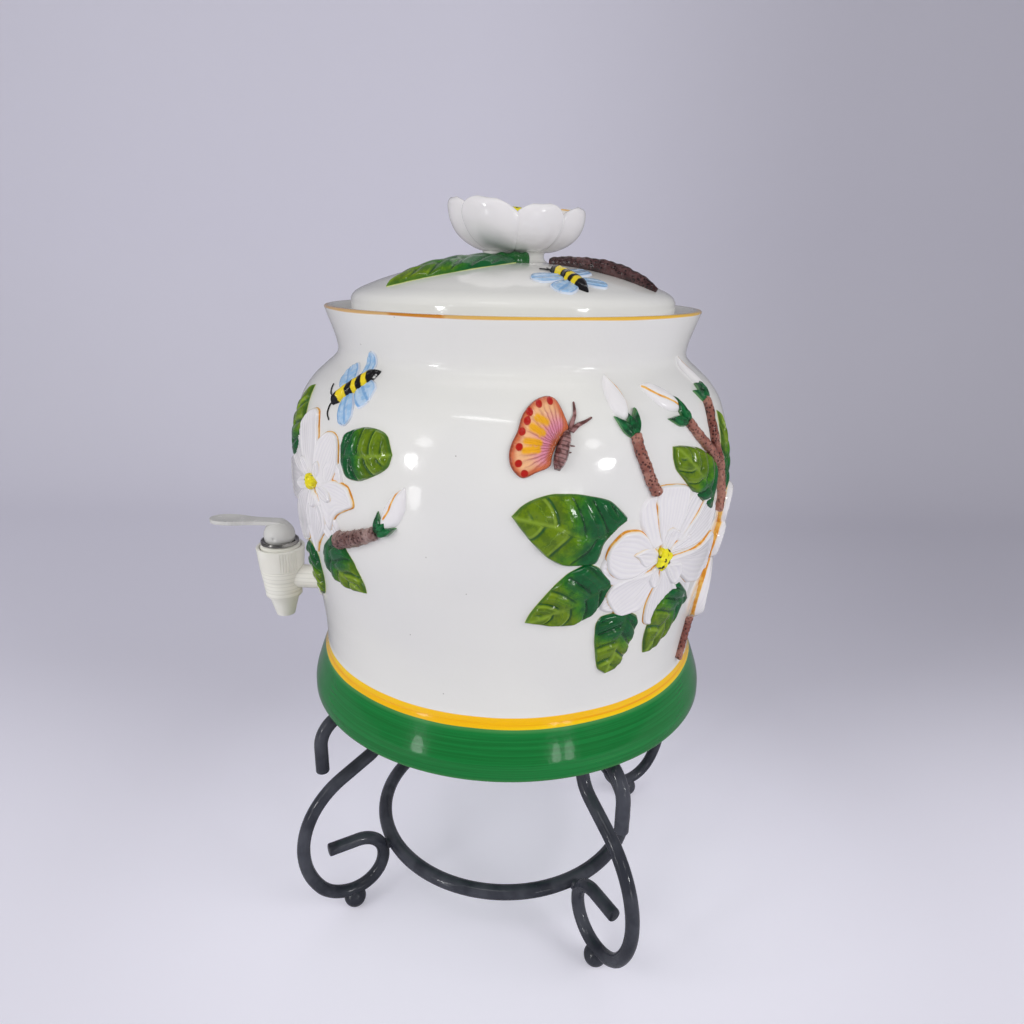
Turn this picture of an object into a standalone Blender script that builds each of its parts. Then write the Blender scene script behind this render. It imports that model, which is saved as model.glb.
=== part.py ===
"""A glazed clay water pot with a lever tap, standing on a wrought iron scroll stand.

The pot is a thick slip-cast crock with a flared neck, a shelf inside the neck for the lid and a
green skirt that is also its foot. Flowers, leaves, buds, twigs, a bee and a butterfly are pressed
apart as thin sprigs and laid on the wall before glazing. The tap goes through a flat boss in the
wall. Its lever is pinned to the stem, and a heel on the lever lifts the stem off its seat.

Frame: +Z up, the floor at zero, the pot's axis on Z, the tap facing -Y. Metres.
"""
import math

import bmesh
import bpy
from mathutils import Matrix, Vector

MM = 0.001

# Fits shared by every piece
GAP = 0.3 * MM
OVERRUN = 4 * MM
RUNNING_GAP = 0.3 * MM
SMOOTH_UP_TO = 35

# The stand: four scrolled rods, two rings and four ball feet
LEG_ROD_R = 4 * MM
RING_ROD_R = 4.5 * MM
LEG_START_AZ = 35
LEG_COUNT = 4
TOE_INSET = 11.4 * MM
BALL_R = 7.25 * MM
BALL_FLAT = 0.4 * MM
BALL_DROP = 6.4 * MM
TOE_ARC_R = 27 * MM
TOE_ARC_SWEEP = 57
BACK_ARC_R = 56 * MM
BACK_ARC_SWEEP = 93
RISE_RUN = 21 * MM
ARCH_ARC_R = 20 * MM
HOOK_RUN = 18 * MM
CURL_ARC_R = 21.5 * MM
CURL_ARC_SWEEP = 97
TIP_ARC_R = 17 * MM
TAIL_RUN = 20 * MM
RING_WELD_ANGLE = 14
WELD_GAP = 0.1 * MM
ROD_STEP = 22
ROD_SIDES = 8
RING_STEPS = 24

# The crock
CROCK_H = 240 * MM
SKIRT_R = 128.8 * MM
SKIRT_H = 37 * MM
WAIST_R = 119.3 * MM
BELLY_R = 132.4 * MM
BELLY_H = 142 * MM
NECK_R = 103 * MM
NECK_H = 219 * MM
RIM_R = 109.6 * MM
WALL = 6.5 * MM
RIM_WALL = 5 * MM
FLOOR_T = 8 * MM
FOOT_RECESS = 9 * MM
FOOT_RING_W = 22 * MM
FOOT_ROUND = 1.2 * MM
FLOOR_ROUND = 12 * MM
SHELF_DROP = 6.3 * MM
SHELF_T = 5 * MM
SHELF_R = 88 * MM
TURN_STEPS = 32

# Shares of each stretch of the outer wall: how far the radius and the height have gone
SKIRT_SHARES = ((0, 0.03), (0.02, 0.135), (0.12, 0.27), (0.36, 0.43), (0.66, 0.64), (0.91, 0.85), (1, 1))
FLANK_SHARES = ((0.05, 0.14), (0.17, 0.28), (0.4, 0.45), (0.64, 0.62), (0.86, 0.79), (1, 1))
SHOULDER_SHARES = (
    (0.02, 0.18),
    (0.07, 0.34),
    (0.14, 0.47),
    (0.24, 0.59),
    (0.36, 0.68),
    (0.48, 0.745),
    (0.62, 0.8),
    (0.76, 0.85),
    (0.87, 0.89),
    (0.95, 0.93),
    (1, 1),
)
NECK_SHARES = ((0.1, 0.18), (0.5, 0.5), (1, 0.96))

# The lid and its flower knob
LID_R = 94.5 * MM
LID_EDGE_H = 9.6 * MM
LID_DOME_H = 20.5 * MM
LID_WALL = 6 * MM
LID_FLANGE_R = 86.5 * MM
LID_FLANGE_T = 6 * MM
LID_FLANGE_H = 10 * MM
STALK_R = 18 * MM
STALK_H = 6 * MM
LID_SHARES = (
    (0.99, 0.08),
    (0.95, 0.2),
    (0.89, 0.34),
    (0.81, 0.47),
    (0.7, 0.62),
    (0.56, 0.78),
    (0.38, 0.92),
    (0.2, 1),
)
KNOB_R = 40 * MM
KNOB_H = 28 * MM
KNOB_PETALS = 6
KNOB_LOBE_SHARE = 0.15
KNOB_STEPS = 24

# The knob's section, outside, rim and heart: shares of its radius and height, and how lobed it is
KNOB_SHARES = (
    (0.55, 0, 0),
    (0.76, 0.1, 0.1),
    (0.9, 0.34, 0.4),
    (0.98, 0.64, 0.7),
    (1, 0.92, 1),
    (0.94, 1, 1),
    (0.86, 0.84, 0.9),
    (0.66, 0.62, 0.4),
    (0.4, 0.58, 0.1),
    (0.3, 0.8, 0),
    (0.14, 0.86, 0),
)

# The tap
TAP_H = 57 * MM
TAP_STANDOFF = 34 * MM
BOSS_R = 14 * MM
BOSS_PROUD = 0.2 * MM
PAD_PROUD = 1 * MM
SHANK_R = 8 * MM
SHANK_HOLE_GAP = 0.6 * MM
SHANK_BORE_R = 4.5 * MM
SHANK_TAIL = 26 * MM
FLANGE_R = 12.5 * MM
FLANGE_T = 2.4 * MM
WASHER_R = 12.5 * MM
WASHER_T = 2.5 * MM
NUT_ACROSS = 25 * MM
NUT_T = 8 * MM
BODY_R = 16.2 * MM
BODY_FOOT_R = 12.3 * MM
BODY_RISE = 22 * MM
BODY_DROP = 14 * MM
BODY_WALL = 2.6 * MM
RING_STEP_T = 0.35 * MM
RING_STEP_COUNT = 3
SPOUT_R = 10 * MM
SPOUT_TIP_R = 6.4 * MM
SPOUT_H = 15 * MM
SPOUT_BORE_R = 4.2 * MM
SEAT_DROP = 8.5 * MM
BONNET_T = 7 * MM
BONNET_RIM = 1.6 * MM
GUIDE_R = 2.5 * MM
WEAR_RING_R = 12.6 * MM
WEAR_RING_T = 1.2 * MM
WEAR_RING_LIP = 1.4 * MM
HUB_R = 10.2 * MM
HUB_DROP = 4.2 * MM
LEVER_SWING = 30
STEM_LIFT = 3 * MM
PIN_R = 1.6 * MM
PIN_HALF = 9 * MM
STEM_R = 2.2 * MM
STEM_HEAD_R = 3.8 * MM
STEM_HEAD_HALF = 2.6 * MM
SLOT_FRONT = 7.2 * MM
SLOT_BACK = 4.4 * MM
SLOT_TOP = 4.6 * MM
ARM_REACH = 47 * MM
ARM_T = 2.6 * MM
ARM_DISH = 0.8 * MM
CUP_R = 6.2 * MM
CUP_H = 8.5 * MM
CUP_SOCKET = 5 * MM
COLLAR_R = 5.6 * MM
COLLAR_T = 1.4 * MM
SPRING_R = 4.4 * MM
SPRING_WIRE_R = 0.45 * MM
SPRING_TURNS = 5
SPRING_TURN_STEPS = 8
SPRING_SIDES = 4
SMALL_TURN_STEPS = 16
PIN_STEPS = 12
NUT_SIDES = 6
BALL_STEPS = 10
BALL_RINGS = 6
CAM_STEPS = 6
DOME_RINGS = 6

# The lever's arm: shares of its reach, half widths as shares of the hub's radius, and the dish's depth
ARM_SHARES = (
    (0, 0.46, 0),
    (0.3, 0.47, 0),
    (0.44, 0.56, 0),
    (0.55, 0.7, 0.5),
    (0.65, 0.79, 1),
    (0.78, 0.8, 1),
    (0.88, 0.72, 0.8),
    (0.95, 0.54, 0.3),
    (0.985, 0.34, 0),
    (1, 0.2, 0),
)

# The sprigs: thickness at the edge and at the crown
SPRIG_GAP = 0.4 * MM
LEAN_STEP = 2 * MM
ROW_PITCH = 7 * MM
CROWN_FILL = 1.4

# Widths along the sprigs, from base to tip, as shares of their length and their half width
LEAF_WIDTH_SHARES = (
    (0, 0.12),
    (0.08, 0.6),
    (0.2, 0.9),
    (0.36, 1),
    (0.56, 0.9),
    (0.75, 0.58),
    (0.9, 0.25),
    (1, 0.08),
)
BUD_WIDTH_SHARES = ((0, 0.35), (0.15, 0.75), (0.35, 1), (0.55, 0.9), (0.78, 0.5), (1, 0.12))
WING_WIDTH_SHARES = ((0, 0.18), (0.25, 0.5), (0.6, 1), (0.8, 0.95), (0.93, 0.62), (1, 0.25))
TWIG_WIDTH_SHARES = ((0, 1.12), (1, 0.88))
BODY_WIDTH_SHARES = ((0, 0.55), (0.15, 0.9), (0.5, 1), (0.8, 0.8), (1, 0.4))
SPRIG_EDGE = 1.2 * MM
LEAF_CROWN = 1.6 * MM
TWIG_CROWN = 2 * MM
BUD_CROWN = 3 * MM
LID_CROWN = 4 * MM
WING_CROWN = 0.7 * MM
INSECT_CROWN = 2.4 * MM
PETAL_EDGE = 2.2 * MM
PETAL_CROWN = 1.4 * MM
HEART_CROWN = 2.6 * MM
TUCK = 0.5 * MM
PETAL_L = 42 * MM
HEART_L = 21 * MM
HEART_DOME_R = 8.5 * MM
FLOWER_STEPS = 28
PETAL_HALF_ANGLE = 36
HEART_PETALS = 6
HEART_WAVE_SHARE = 0.2

# From a petal's middle to its side: how far it reaches and how high its crown is
PETAL_OUTLINE_SHARES = ((0, 1), (0.4, 0.96), (0.7, 0.84), (1, 0.62))
PETAL_CROWN_SHARES = ((0, 1), (0.5, 0.5), (1, 0))
PETAL_SWELL_SHARES = ((0, 0.2), (0.55, 1), (1, 0.45))
FACE_RING_SHARES = (0.18, 0.4, 0.74, 1)
BACK_RING_SHARES = (0.26, 0.52, 0.78, 1)

# Sprigs on the crock. Each end is an azimuth in degrees and a share of the crock's height.
# Then the half widths to its left and right, as shares of its own length.
LEAF_SHARES = {
    "leaf_great": ((28.5, 0.585), (5.3, 0.643), (0.26, 0.37), ("main_flower",)),
    "leaf_second": ((29.5, 0.474), (8.7, 0.393), (0.32, 0.26), ("main_flower", "leaf_great")),
    "leaf_third": ((34, 0.398), (30.4, 0.236), (0.37, 0.36), ("main_flower", "leaf_second")),
    "leaf_small": ((61, 0.354), (43, 0.263), (0.19, 0.2), ("main_flower", "side_flower", "leaf_third")),
    "leaf_upper": ((62.5, 0.55), (45, 0.74), (0.2, 0.32), ("main_flower", "side_flower", "twig_main")),
    "leaf_edge": ((78, 0.585), (74, 0.735), (0.27, 0.27), ("side_flower", "twig_main")),
    "leaf_round": ((-37.5, 0.706), (-21.3, 0.734), (0.34, 0.38), ("left_flower",)),
    "leaf_shoulder": ((-68, 0.66), (-59.5, 0.828), (0.15, 0.15), ("left_flower",)),
    "leaf_hanging": ((-42.5, 0.53), (-30, 0.41), (0.27, 0.27), ("left_flower", "twig_left")),
    "leaf_narrow": ((-66, 0.44), (-55, 0.333), (0.15, 0.15), ("left_flower", "leaf_hanging")),
    "leaf_back_low": ((106, 0.37), (116, 0.24), (0.3, 0.3), ("side_flower",)),
    "leaf_back_high": ((108, 0.55), (124, 0.66), (0.28, 0.3), ("side_flower",)),
}

# Twigs: their ends, a bow sideways as a share of the length, and the sprigs that they tuck under
TWIG_SHARES = {
    "twig_main": ((66.5, 0.52), (62.2, 0.818), 0.01, ("main_flower", "side_flower")),
    "twig_bud_a": ((38.4, 0.664), (31.6, 0.79), -0.04, ("main_flower",)),
    "twig_bud_b": ((63.8, 0.69), (50.6, 0.79), -0.06, ("twig_main",)),
    "twig_low": ((66.8, 0.262), (64.2, 0.165), 0.04, ("side_flower", "leaf_small")),
    "twig_left": ((-37.5, 0.537), (-24.5, 0.562), 0.03, ("left_flower",)),
}
TWIG_HALF = 2.7 * MM

# Buds: white teardrops in a green sleeve, where they start, where they point and their half width
BUD_SHARES = {
    "bud_a": ((31.2, 0.802), (28.4, 0.9), 0.24),
    "bud_b": ((49.6, 0.8), (38.8, 0.866), 0.19),
    "bud_c": ((62.0, 0.83), (60.6, 0.915), 0.22),
    "bud_left": ((-23, 0.577), (-17, 0.672), 0.2),
}

# Flowers: the centre, the direction and the length of each petal as a share of PETAL_L
FLOWER_SHARES = {
    "main_flower": ((42.9, 0.505), ((88, 0.92), (26, 1), (-28, 0.98), (-80, 1), (-142, 0.97), (163, 1))),
    "side_flower": ((88, 0.44), ((80, 1), (20, 0.95), (-40, 0.95), (-100, 1), (-152, 0.62), (150, 0.66))),
    "left_flower": (
        (-48.7, 0.631),
        ((90, 0.93), (43, 0.92), (-7, 0.96), (-52, 0.7), (-94, 0.95), (-150, 0.96), (168, 0.96)),
    ),
}

# The butterfly and the bee: head, tail and half width, then the wings
BUTTERFLY_SHARES = ((17.3, 0.8), (14.7, 0.722), 0.17)
BUTTERFLY_WING_SHARES = ((0.45, -54, 1.3, 0.5), (0.55, -106, 1.36, 0.52))
BEE_SHARES = ((-42, 0.812), (-32.4, 0.876), 0.17)
BEE_WING_SHARES = (
    (0.25, 66, 0.9, 0.17),
    (0.44, 114, 0.72, 0.17),
    (0.28, -76, 0.76, 0.17),
    (0.48, -118, 0.72, 0.17),
)

# Sprigs on the lid: ends as the azimuth and the share of the lid's radius
LID_LEAF_SHARES = ((5, 0.31), (-46, 0.92), (0.23, 0.19))
LID_TWIG_SHARES = ((50, 0.32), (67, 0.92), 0.02)
LID_BEE_SHARES = ((27, 0.58), (30, 0.9), 0.16)


def srgb(red, green, blue):
    """A colour as it is seen, from 0 to 255, turned into the linear values that a shader takes."""
    return tuple((c / 255) ** 2.2 for c in (red, green, blue)) + (1,)


# Finishes: colour, roughness, metallic
FINISHES = {
    "white_glaze": (srgb(232, 228, 236), 0.12, 0),
    "petal_glaze": (srgb(240, 236, 242), 0.15, 0),
    "leaf_glaze": (srgb(58, 120, 40), 0.15, 0),
    "twig_glaze": (srgb(112, 78, 76), 0.3, 0),
    "butterfly_glaze": (srgb(220, 130, 84), 0.2, 0),
    "bee_glaze": (srgb(232, 208, 60), 0.2, 0),
    "black_iron": (srgb(44, 46, 54), 0.28, 0.3),
    "tap_plastic": (srgb(226, 224, 214), 0.35, 0),
    "lever_plastic": (srgb(214, 214, 212), 0.3, 0),
    "steel": (srgb(180, 180, 182), 0.22, 1),
    "silicone": (srgb(225, 225, 222), 0.5, 0),
}


def clear_scene():
    for thing in list(bpy.data.objects):
        bpy.data.objects.remove(thing, do_unlink=True)


def finish(name):
    """The Principled material of one finish, made once."""
    made = bpy.data.materials.get(name)
    if made:
        return made
    colour, roughness, metallic = FINISHES[name]
    made = bpy.data.materials.new(name)
    made.use_nodes = True
    shader = made.node_tree.nodes["Principled BSDF"]
    shader.inputs["Base Color"].default_value = colour
    shader.inputs["Roughness"].default_value = roughness
    shader.inputs["Metallic"].default_value = metallic
    made.diffuse_color = colour
    return made


def empty(name, place, parent=None):
    """A joint's place, which the moving pieces hang from."""
    made = bpy.data.objects.new(name, None)
    bpy.context.collection.objects.link(made)
    made.location = Vector(place)
    if parent:
        made.parent = parent
        made.location = Vector(place) - world_place(parent)
    return made


def world_place(thing):
    """Where an object stands, summed up its parents, none of which is turned."""
    place = Vector(thing.location)
    while thing.parent:
        thing = thing.parent
        place += Vector(thing.location)
    return place


def piece(name, shape, look, parent):
    """One named solid from its points and faces, with its origin at its parent's place."""
    points, faces = shape
    origin = world_place(parent)
    mesh = bpy.data.meshes.new(name)
    mesh.from_pydata([Vector(p) - origin for p in points], [], faces)
    shell = bmesh.new()
    shell.from_mesh(mesh)
    bmesh.ops.recalc_face_normals(shell, faces=shell.faces)
    shell.to_mesh(mesh)
    shell.free()
    mesh.shade_smooth()
    mesh.set_sharp_from_angle(angle=math.radians(SMOOTH_UP_TO))
    mesh.materials.append(finish(look))
    made = bpy.data.objects.new(name, mesh)
    made.parent = parent
    bpy.context.collection.objects.link(made)
    return made


def tool(name, shape, parent):
    """A solid that only cuts or joins another."""
    made = piece(name, shape, "white_glaze", parent)
    made.hide_render = True
    made.display_type = "WIRE"
    return made


def combine(target, helper, operation):
    """Cuts a tool away from a solid, or joins it on."""
    step = target.modifiers.new(helper.name, "BOOLEAN")
    step.operation = operation
    step.object = helper
    step.solver = "EXACT"


def lathe(profile, steps, axis=(0, 0)):
    """A closed outline of (radius, height) turned about an upright axis."""
    points = []
    rings = []
    for radius, height in profile:
        if radius <= 0:
            rings.append([len(points)])
            points.append((axis[0], axis[1], height))
            continue
        ring = []
        for k in range(steps):
            turn = math.tau * k / steps
            ring.append(len(points))
            points.append((axis[0] + radius * math.cos(turn), axis[1] + radius * math.sin(turn), height))
        rings.append(ring)
    faces = []
    open_ends = profile[0][0] <= 0 and profile[-1][0] <= 0
    pairs = list(zip(rings, rings[1:]))
    if not open_ends:
        pairs.append((rings[-1], rings[0]))
    for low, high in pairs:
        for k in range(steps):
            n = (k + 1) % steps
            if len(low) == 1 and len(high) == 1:
                continue
            if len(low) == 1:
                faces.append((low[0], high[n], high[k]))
            elif len(high) == 1:
                faces.append((low[k], low[n], high[0]))
            else:
                faces.append((low[k], low[n], high[n], high[k]))
    return points, faces


def turned(shape, matrix):
    """A shape moved by a matrix."""
    points, faces = shape
    return [matrix @ Vector(p) for p in points], faces


def along_y(start, height=0.0):
    """Lays a turned shape's axis along -Y, starting at the given place on Y and height."""
    return Matrix.Translation((0, start, height)) @ Matrix.Rotation(math.radians(90), 4, "X")


def sweep(path, radius, sides, side_on, closed=False):
    """A rod along a flat path. side_on is the direction square to the path's plane."""
    points = []
    count = len(path)
    for k, place in enumerate(path):
        ahead = path[(k + 1) % count] if closed or k < count - 1 else place
        behind = path[k - 1] if closed or k > 0 else place
        forward = (ahead - behind).normalized()
        across = forward.cross(side_on).normalized()
        for s in range(sides):
            turn = math.tau * s / sides
            points.append(place + (across * math.cos(turn) + side_on * math.sin(turn)) * radius)
    faces = []
    for k in range(count if closed else count - 1):
        n = (k + 1) % count
        for s in range(sides):
            t = (s + 1) % sides
            faces.append((k * sides + s, k * sides + t, n * sides + t, n * sides + s))
    if not closed:
        faces.append(tuple(reversed(range(sides))))
        faces.append(tuple(range((count - 1) * sides, count * sides)))
    return points, faces


LEG_TOE_RADIUS = SKIRT_R - TOE_INSET
OUTWARD = 0
INWARD = 180


def arc_steps(place, heading, radius, sweep_angle):
    """The points of an arc from a place and a heading in degrees. A positive sweep turns left."""
    side = math.copysign(1, sweep_angle)
    start = math.radians(heading)
    centre = (place[0] - side * radius * math.sin(start), place[1] + side * radius * math.cos(start))
    steps = max(2, round(abs(sweep_angle) / ROD_STEP))
    points = []
    for k in range(1, steps + 1):
        turn = start + math.radians(sweep_angle) * k / steps
        across = side * radius * math.sin(turn)
        points.append((centre[0] + across, centre[1] - side * radius * math.cos(turn)))
    return points, heading + sweep_angle, centre


def run_step(place, heading, length):
    """The end of a straight run."""
    turn = math.radians(heading)
    return (place[0] + length * math.cos(turn), place[1] + length * math.sin(turn))


def scroll():
    """The leg's centre line as (radius, height), from the hook's end to the tail's end.

    Both halves start at the lowest point of the toe. Returns the line, the arch's centre and the
    curl's tip centre, which the crock and the rings take their places from.
    """
    toe = (LEG_TOE_RADIUS, BALL_R - BALL_FLAT + BALL_DROP)
    outer = []
    points, heading, _ = arc_steps(toe, OUTWARD, TOE_ARC_R, TOE_ARC_SWEEP)
    outer += points
    points, heading, _ = arc_steps(outer[-1], heading, BACK_ARC_R, BACK_ARC_SWEEP)
    outer += points
    outer.append(run_step(outer[-1], heading, RISE_RUN))
    arch_sweep = -(heading + 90)
    points, heading, arch = arc_steps(outer[-1], heading, ARCH_ARC_R, arch_sweep)
    outer += points
    outer.append(run_step(outer[-1], heading, HOOK_RUN))
    inner, heading, _ = arc_steps(toe, INWARD, CURL_ARC_R, -CURL_ARC_SWEEP)
    points, heading, tip = arc_steps(inner[-1], heading, TIP_ARC_R, OUTWARD - heading)
    inner += points
    inner.append(run_step(inner[-1], heading, TAIL_RUN))
    return outer[::-1] + [toe] + inner, arch, tip


SCROLL, ARCH_CENTRE, TIP_CENTRE = scroll()
FOOT_Z = ARCH_CENTRE[1] + ARCH_ARC_R + LEG_ROD_R + GAP
RIM_Z = FOOT_Z + CROCK_H
SHELF_Z = RIM_Z - SHELF_DROP
LID_Z = SHELF_Z + GAP
LID_TOP_Z = LID_Z + LID_EDGE_H + LID_DOME_H
WELD_REACH = TIP_ARC_R + LEG_ROD_R + RING_ROD_R + WELD_GAP
LOWER_RING = (
    TIP_CENTRE[0] - WELD_REACH * math.cos(math.radians(RING_WELD_ANGLE)),
    TIP_CENTRE[1] + WELD_REACH * math.sin(math.radians(RING_WELD_ANGLE)),
)
UPPER_RING = (ARCH_CENTRE[0] - ARCH_ARC_R - LEG_ROD_R - RING_ROD_R - WELD_GAP, ARCH_CENTRE[1])
FOOT_INNER_R = SKIRT_R - FOOT_RING_W


def stretch(start, end, shares):
    """Points between two (radius, height) places, by shares of the way in radius and in height."""
    return [(start[0] + (end[0] - start[0]) * a, start[1] + (end[1] - start[1]) * b) for a, b in shares]


def outer_wall():
    """The crock's outer line from the foot to the rim."""
    foot = (SKIRT_R, FOOT_Z)
    waist = (WAIST_R, FOOT_Z + SKIRT_H)
    belly = (BELLY_R, FOOT_Z + BELLY_H)
    neck = (NECK_R, FOOT_Z + NECK_H)
    rim = (RIM_R, RIM_Z)
    line = stretch(foot, waist, SKIRT_SHARES)
    line += stretch(waist, belly, FLANK_SHARES)
    line += stretch(belly, neck, SHOULDER_SHARES)
    line += stretch(neck, rim, NECK_SHARES)
    return line


OUTER = outer_wall()


def read_line(line, height):
    """The radius of a line of (radius, height) points, at a height."""
    if height <= line[0][1]:
        return line[0][0]
    for (r0, z0), (r1, z1) in zip(line, line[1:]):
        if height <= z1:
            return r0 + (r1 - r0) * (height - z0) / (z1 - z0)
    return line[-1][0]


def wall_r(height):
    return read_line(OUTER, height)


def wall_lean(height):
    """How the outer wall leans, as the angle of its outward normal above level."""
    change = wall_r(height + LEAN_STEP) - wall_r(height - LEAN_STEP)
    return math.atan2(-change, 2 * LEAN_STEP)


def inner_wall():
    """The crock's inner line, from the rim down to the middle of its floor."""
    floor_z = FOOT_Z + FOOT_RECESS + FLOOR_T
    line = [(RIM_R - RIM_WALL / 2, RIM_Z), (RIM_R - RIM_WALL, RIM_Z - RIM_WALL / 2)]
    line.append((wall_r(SHELF_Z) - WALL, SHELF_Z))
    line.append((SHELF_R, SHELF_Z))
    line.append((SHELF_R, SHELF_Z - SHELF_T))
    neck_z = FOOT_Z + NECK_H
    line.append((NECK_R - WALL, neck_z))
    flank = [place for place in OUTER if floor_z + FLOOR_ROUND < place[1] < neck_z - SHELF_T]
    line += [(radius - WALL, height) for radius, height in flank[::-3]]
    line.append((wall_r(floor_z + FLOOR_ROUND) - WALL, floor_z + FLOOR_ROUND))
    line.append((wall_r(floor_z) - WALL - FLOOR_ROUND, floor_z))
    line.append((0, floor_z))
    return line


def crock_line():
    """The crock's whole section: floor underside, foot ring, outer wall, rim and inside."""
    recess_z = FOOT_Z + FOOT_RECESS
    line = [(0, recess_z), (FOOT_INNER_R - FOOT_RECESS, recess_z), (FOOT_INNER_R, FOOT_Z)]
    line.append((SKIRT_R - FOOT_ROUND, FOOT_Z))
    return line + OUTER + inner_wall()


TAP_Z = FOOT_Z + TAP_H
BOSS_ENDS = (wall_r(TAP_Z - BOSS_R), wall_r(TAP_Z + BOSS_R))
BOSS_Y = -(max(BOSS_ENDS) + BOSS_PROUD)
PAD_Y = -(min(BOSS_ENDS) - WALL - PAD_PROUD)
TAP_Y = BOSS_Y - TAP_STANDOFF
BODY_TOP = TAP_Z + BODY_RISE
BODY_FOOT = TAP_Z - BODY_DROP
SPOUT_END = BODY_FOOT - SPOUT_H
SEAT_Z = TAP_Z - SEAT_DROP
BONNET_TOP = BODY_TOP + BONNET_RIM
WEAR_TOP = BONNET_TOP + GAP + WEAR_RING_T
PIN_Z = WEAR_TOP + GAP + HUB_DROP
LIFT_PER_RADIAN = STEM_LIFT / math.radians(LEVER_SWING)


def disc_line(radius, low, high):
    """The section of a plain disc or rod."""
    return ((0, low), (radius, low), (radius, high), (0, high))


def make_crock(parent):
    crock = piece("crock", lathe(crock_line(), TURN_STEPS), "white_glaze", parent)
    boss_len = PAD_Y - BOSS_Y
    lay = along_y(PAD_Y, TAP_Z)
    boss = tool("crock_boss", turned(lathe(disc_line(BOSS_R, 0, boss_len), TURN_STEPS), lay), parent)
    combine(crock, boss, "UNION")
    hole_line = disc_line(SHANK_R + SHANK_HOLE_GAP, -OVERRUN, boss_len + OVERRUN)
    hole = tool("crock_tap_hole", turned(lathe(hole_line, SMALL_TURN_STEPS), lay), parent)
    combine(crock, hole, "DIFFERENCE")


def lid_line():
    """The dome's outer line from its edge to the stalk, as (radius, height)."""
    edge_z = LID_Z + LID_EDGE_H
    return [(LID_R * a, edge_z + LID_DOME_H * b) for a, b in LID_SHARES]


def lid_height(radius):
    """The height of the dome's outside over a radius."""
    line = lid_line()
    if radius >= line[0][0]:
        return line[0][1]
    for (r0, z0), (r1, z1) in zip(line, line[1:]):
        if radius >= r1:
            return z0 + (z1 - z0) * (r0 - radius) / (r0 - r1)
    return line[-1][1]


def make_lid(parent):
    dome = lid_line()
    top = dome[-1][1]
    line = [(0, top + STALK_H), (STALK_R, top + STALK_H), (STALK_R, top + GAP)]
    line += dome[::-1]
    line += [(LID_R, LID_Z + LID_EDGE_H), (LID_R, LID_Z + FOOT_ROUND), (LID_R - FOOT_ROUND, LID_Z)]
    flange_in = LID_FLANGE_R - LID_FLANGE_T
    flange_low = LID_Z - LID_FLANGE_H
    line += [(LID_FLANGE_R, LID_Z), (LID_FLANGE_R - FOOT_ROUND, flange_low), (flange_in, flange_low)]
    inside = [place for place in dome if place[0] < flange_in + LID_WALL]
    line += [(radius - LID_WALL, height - LID_WALL) for radius, height in inside[::2]]
    line.append((0, top - LID_WALL))
    piece("lid", lathe(line, TURN_STEPS), "white_glaze", parent)


def make_knob(parent):
    """A full-blown flower: a ring of thick petals round a raised heart."""
    foot = LID_TOP_Z + STALK_H + GAP
    points = [(0, 0, foot)]
    for out, up, scallop in KNOB_SHARES:
        for k in range(KNOB_STEPS):
            turn = math.tau * k / KNOB_STEPS
            lobe = 1 - KNOB_LOBE_SHARE * scallop * (1 - abs(math.cos(KNOB_PETALS * turn / 2)))
            radius = KNOB_R * out * lobe
            points.append((radius * math.cos(turn), radius * math.sin(turn), foot + KNOB_H * up * lobe))
    faces = []
    for k in range(KNOB_STEPS):
        faces.append((0, 1 + (k + 1) % KNOB_STEPS, 1 + k))
    for row in range(len(KNOB_SHARES) - 1):
        for k in range(KNOB_STEPS):
            n = (k + 1) % KNOB_STEPS
            low = 1 + row * KNOB_STEPS
            high = low + KNOB_STEPS
            faces.append((low + k, low + n, high + n, high + k))
    last = 1 + (len(KNOB_SHARES) - 1) * KNOB_STEPS
    faces.append(tuple(range(last, last + KNOB_STEPS)))
    piece("lid_flower_knob", (points, faces), "petal_glaze", parent)


def wall_skin(azimuth, height):
    """A map from flat (across, up, lift) about a place on the crock to a place over its wall."""
    start = math.radians(azimuth)
    reach = wall_r(height)

    def skin(across, up, lift):
        turn = start + across / reach
        lean = wall_lean(height + up)
        off = SPRIG_GAP + lift
        radius = wall_r(height + up) + off * math.cos(lean)
        return Vector((radius * math.cos(turn), radius * math.sin(turn), height + up + off * math.sin(lean)))

    return skin


def wall_place(azimuth, share, other, other_share):
    """Where another place on the crock lies on the flat map about the first."""
    height = FOOT_Z + CROCK_H * share
    other_height = FOOT_Z + CROCK_H * other_share
    return Vector((math.radians(other - azimuth) * wall_r(height), other_height - height))


def lid_skin(across, up, lift):
    """The lid's map: flat places seen from above, raised on to the dome."""
    height = lid_height(math.hypot(across, up))
    return Vector((across, up, height + SPRIG_GAP + lift))


def eased(table, share):
    """A table of (share, value) read at a share, with soft bends at its places."""
    for (a, low), (b, high) in zip(table, table[1:]):
        if share <= b:
            blend = (1 - math.cos(math.pi * (share - a) / (b - a))) / 2
            slope = (share - a) / (b - a)
            return low + (high - low) * (blend + slope) / 2
    return table[-1][1]


def slab(top, low, rows, columns):
    """The solid between two grids of points, one over the other."""
    shift = len(top)
    stride = columns + 1
    faces = []
    for i in range(rows):
        for j in range(columns):
            a = i * stride + j
            faces.append((a, a + 1, a + stride + 1, a + stride))
            faces.append((shift + a, shift + a + stride, shift + a + stride + 1, shift + a + 1))
    border = list(range(columns)) + [i * stride + columns for i in range(rows)]
    border += [rows * stride + j for j in range(columns, 0, -1)] + [i * stride for i in range(rows, 0, -1)]
    for a, b in zip(border, border[1:] + border[:1]):
        faces.append((a, shift + a, shift + b, b))
    return top + low, faces


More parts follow.
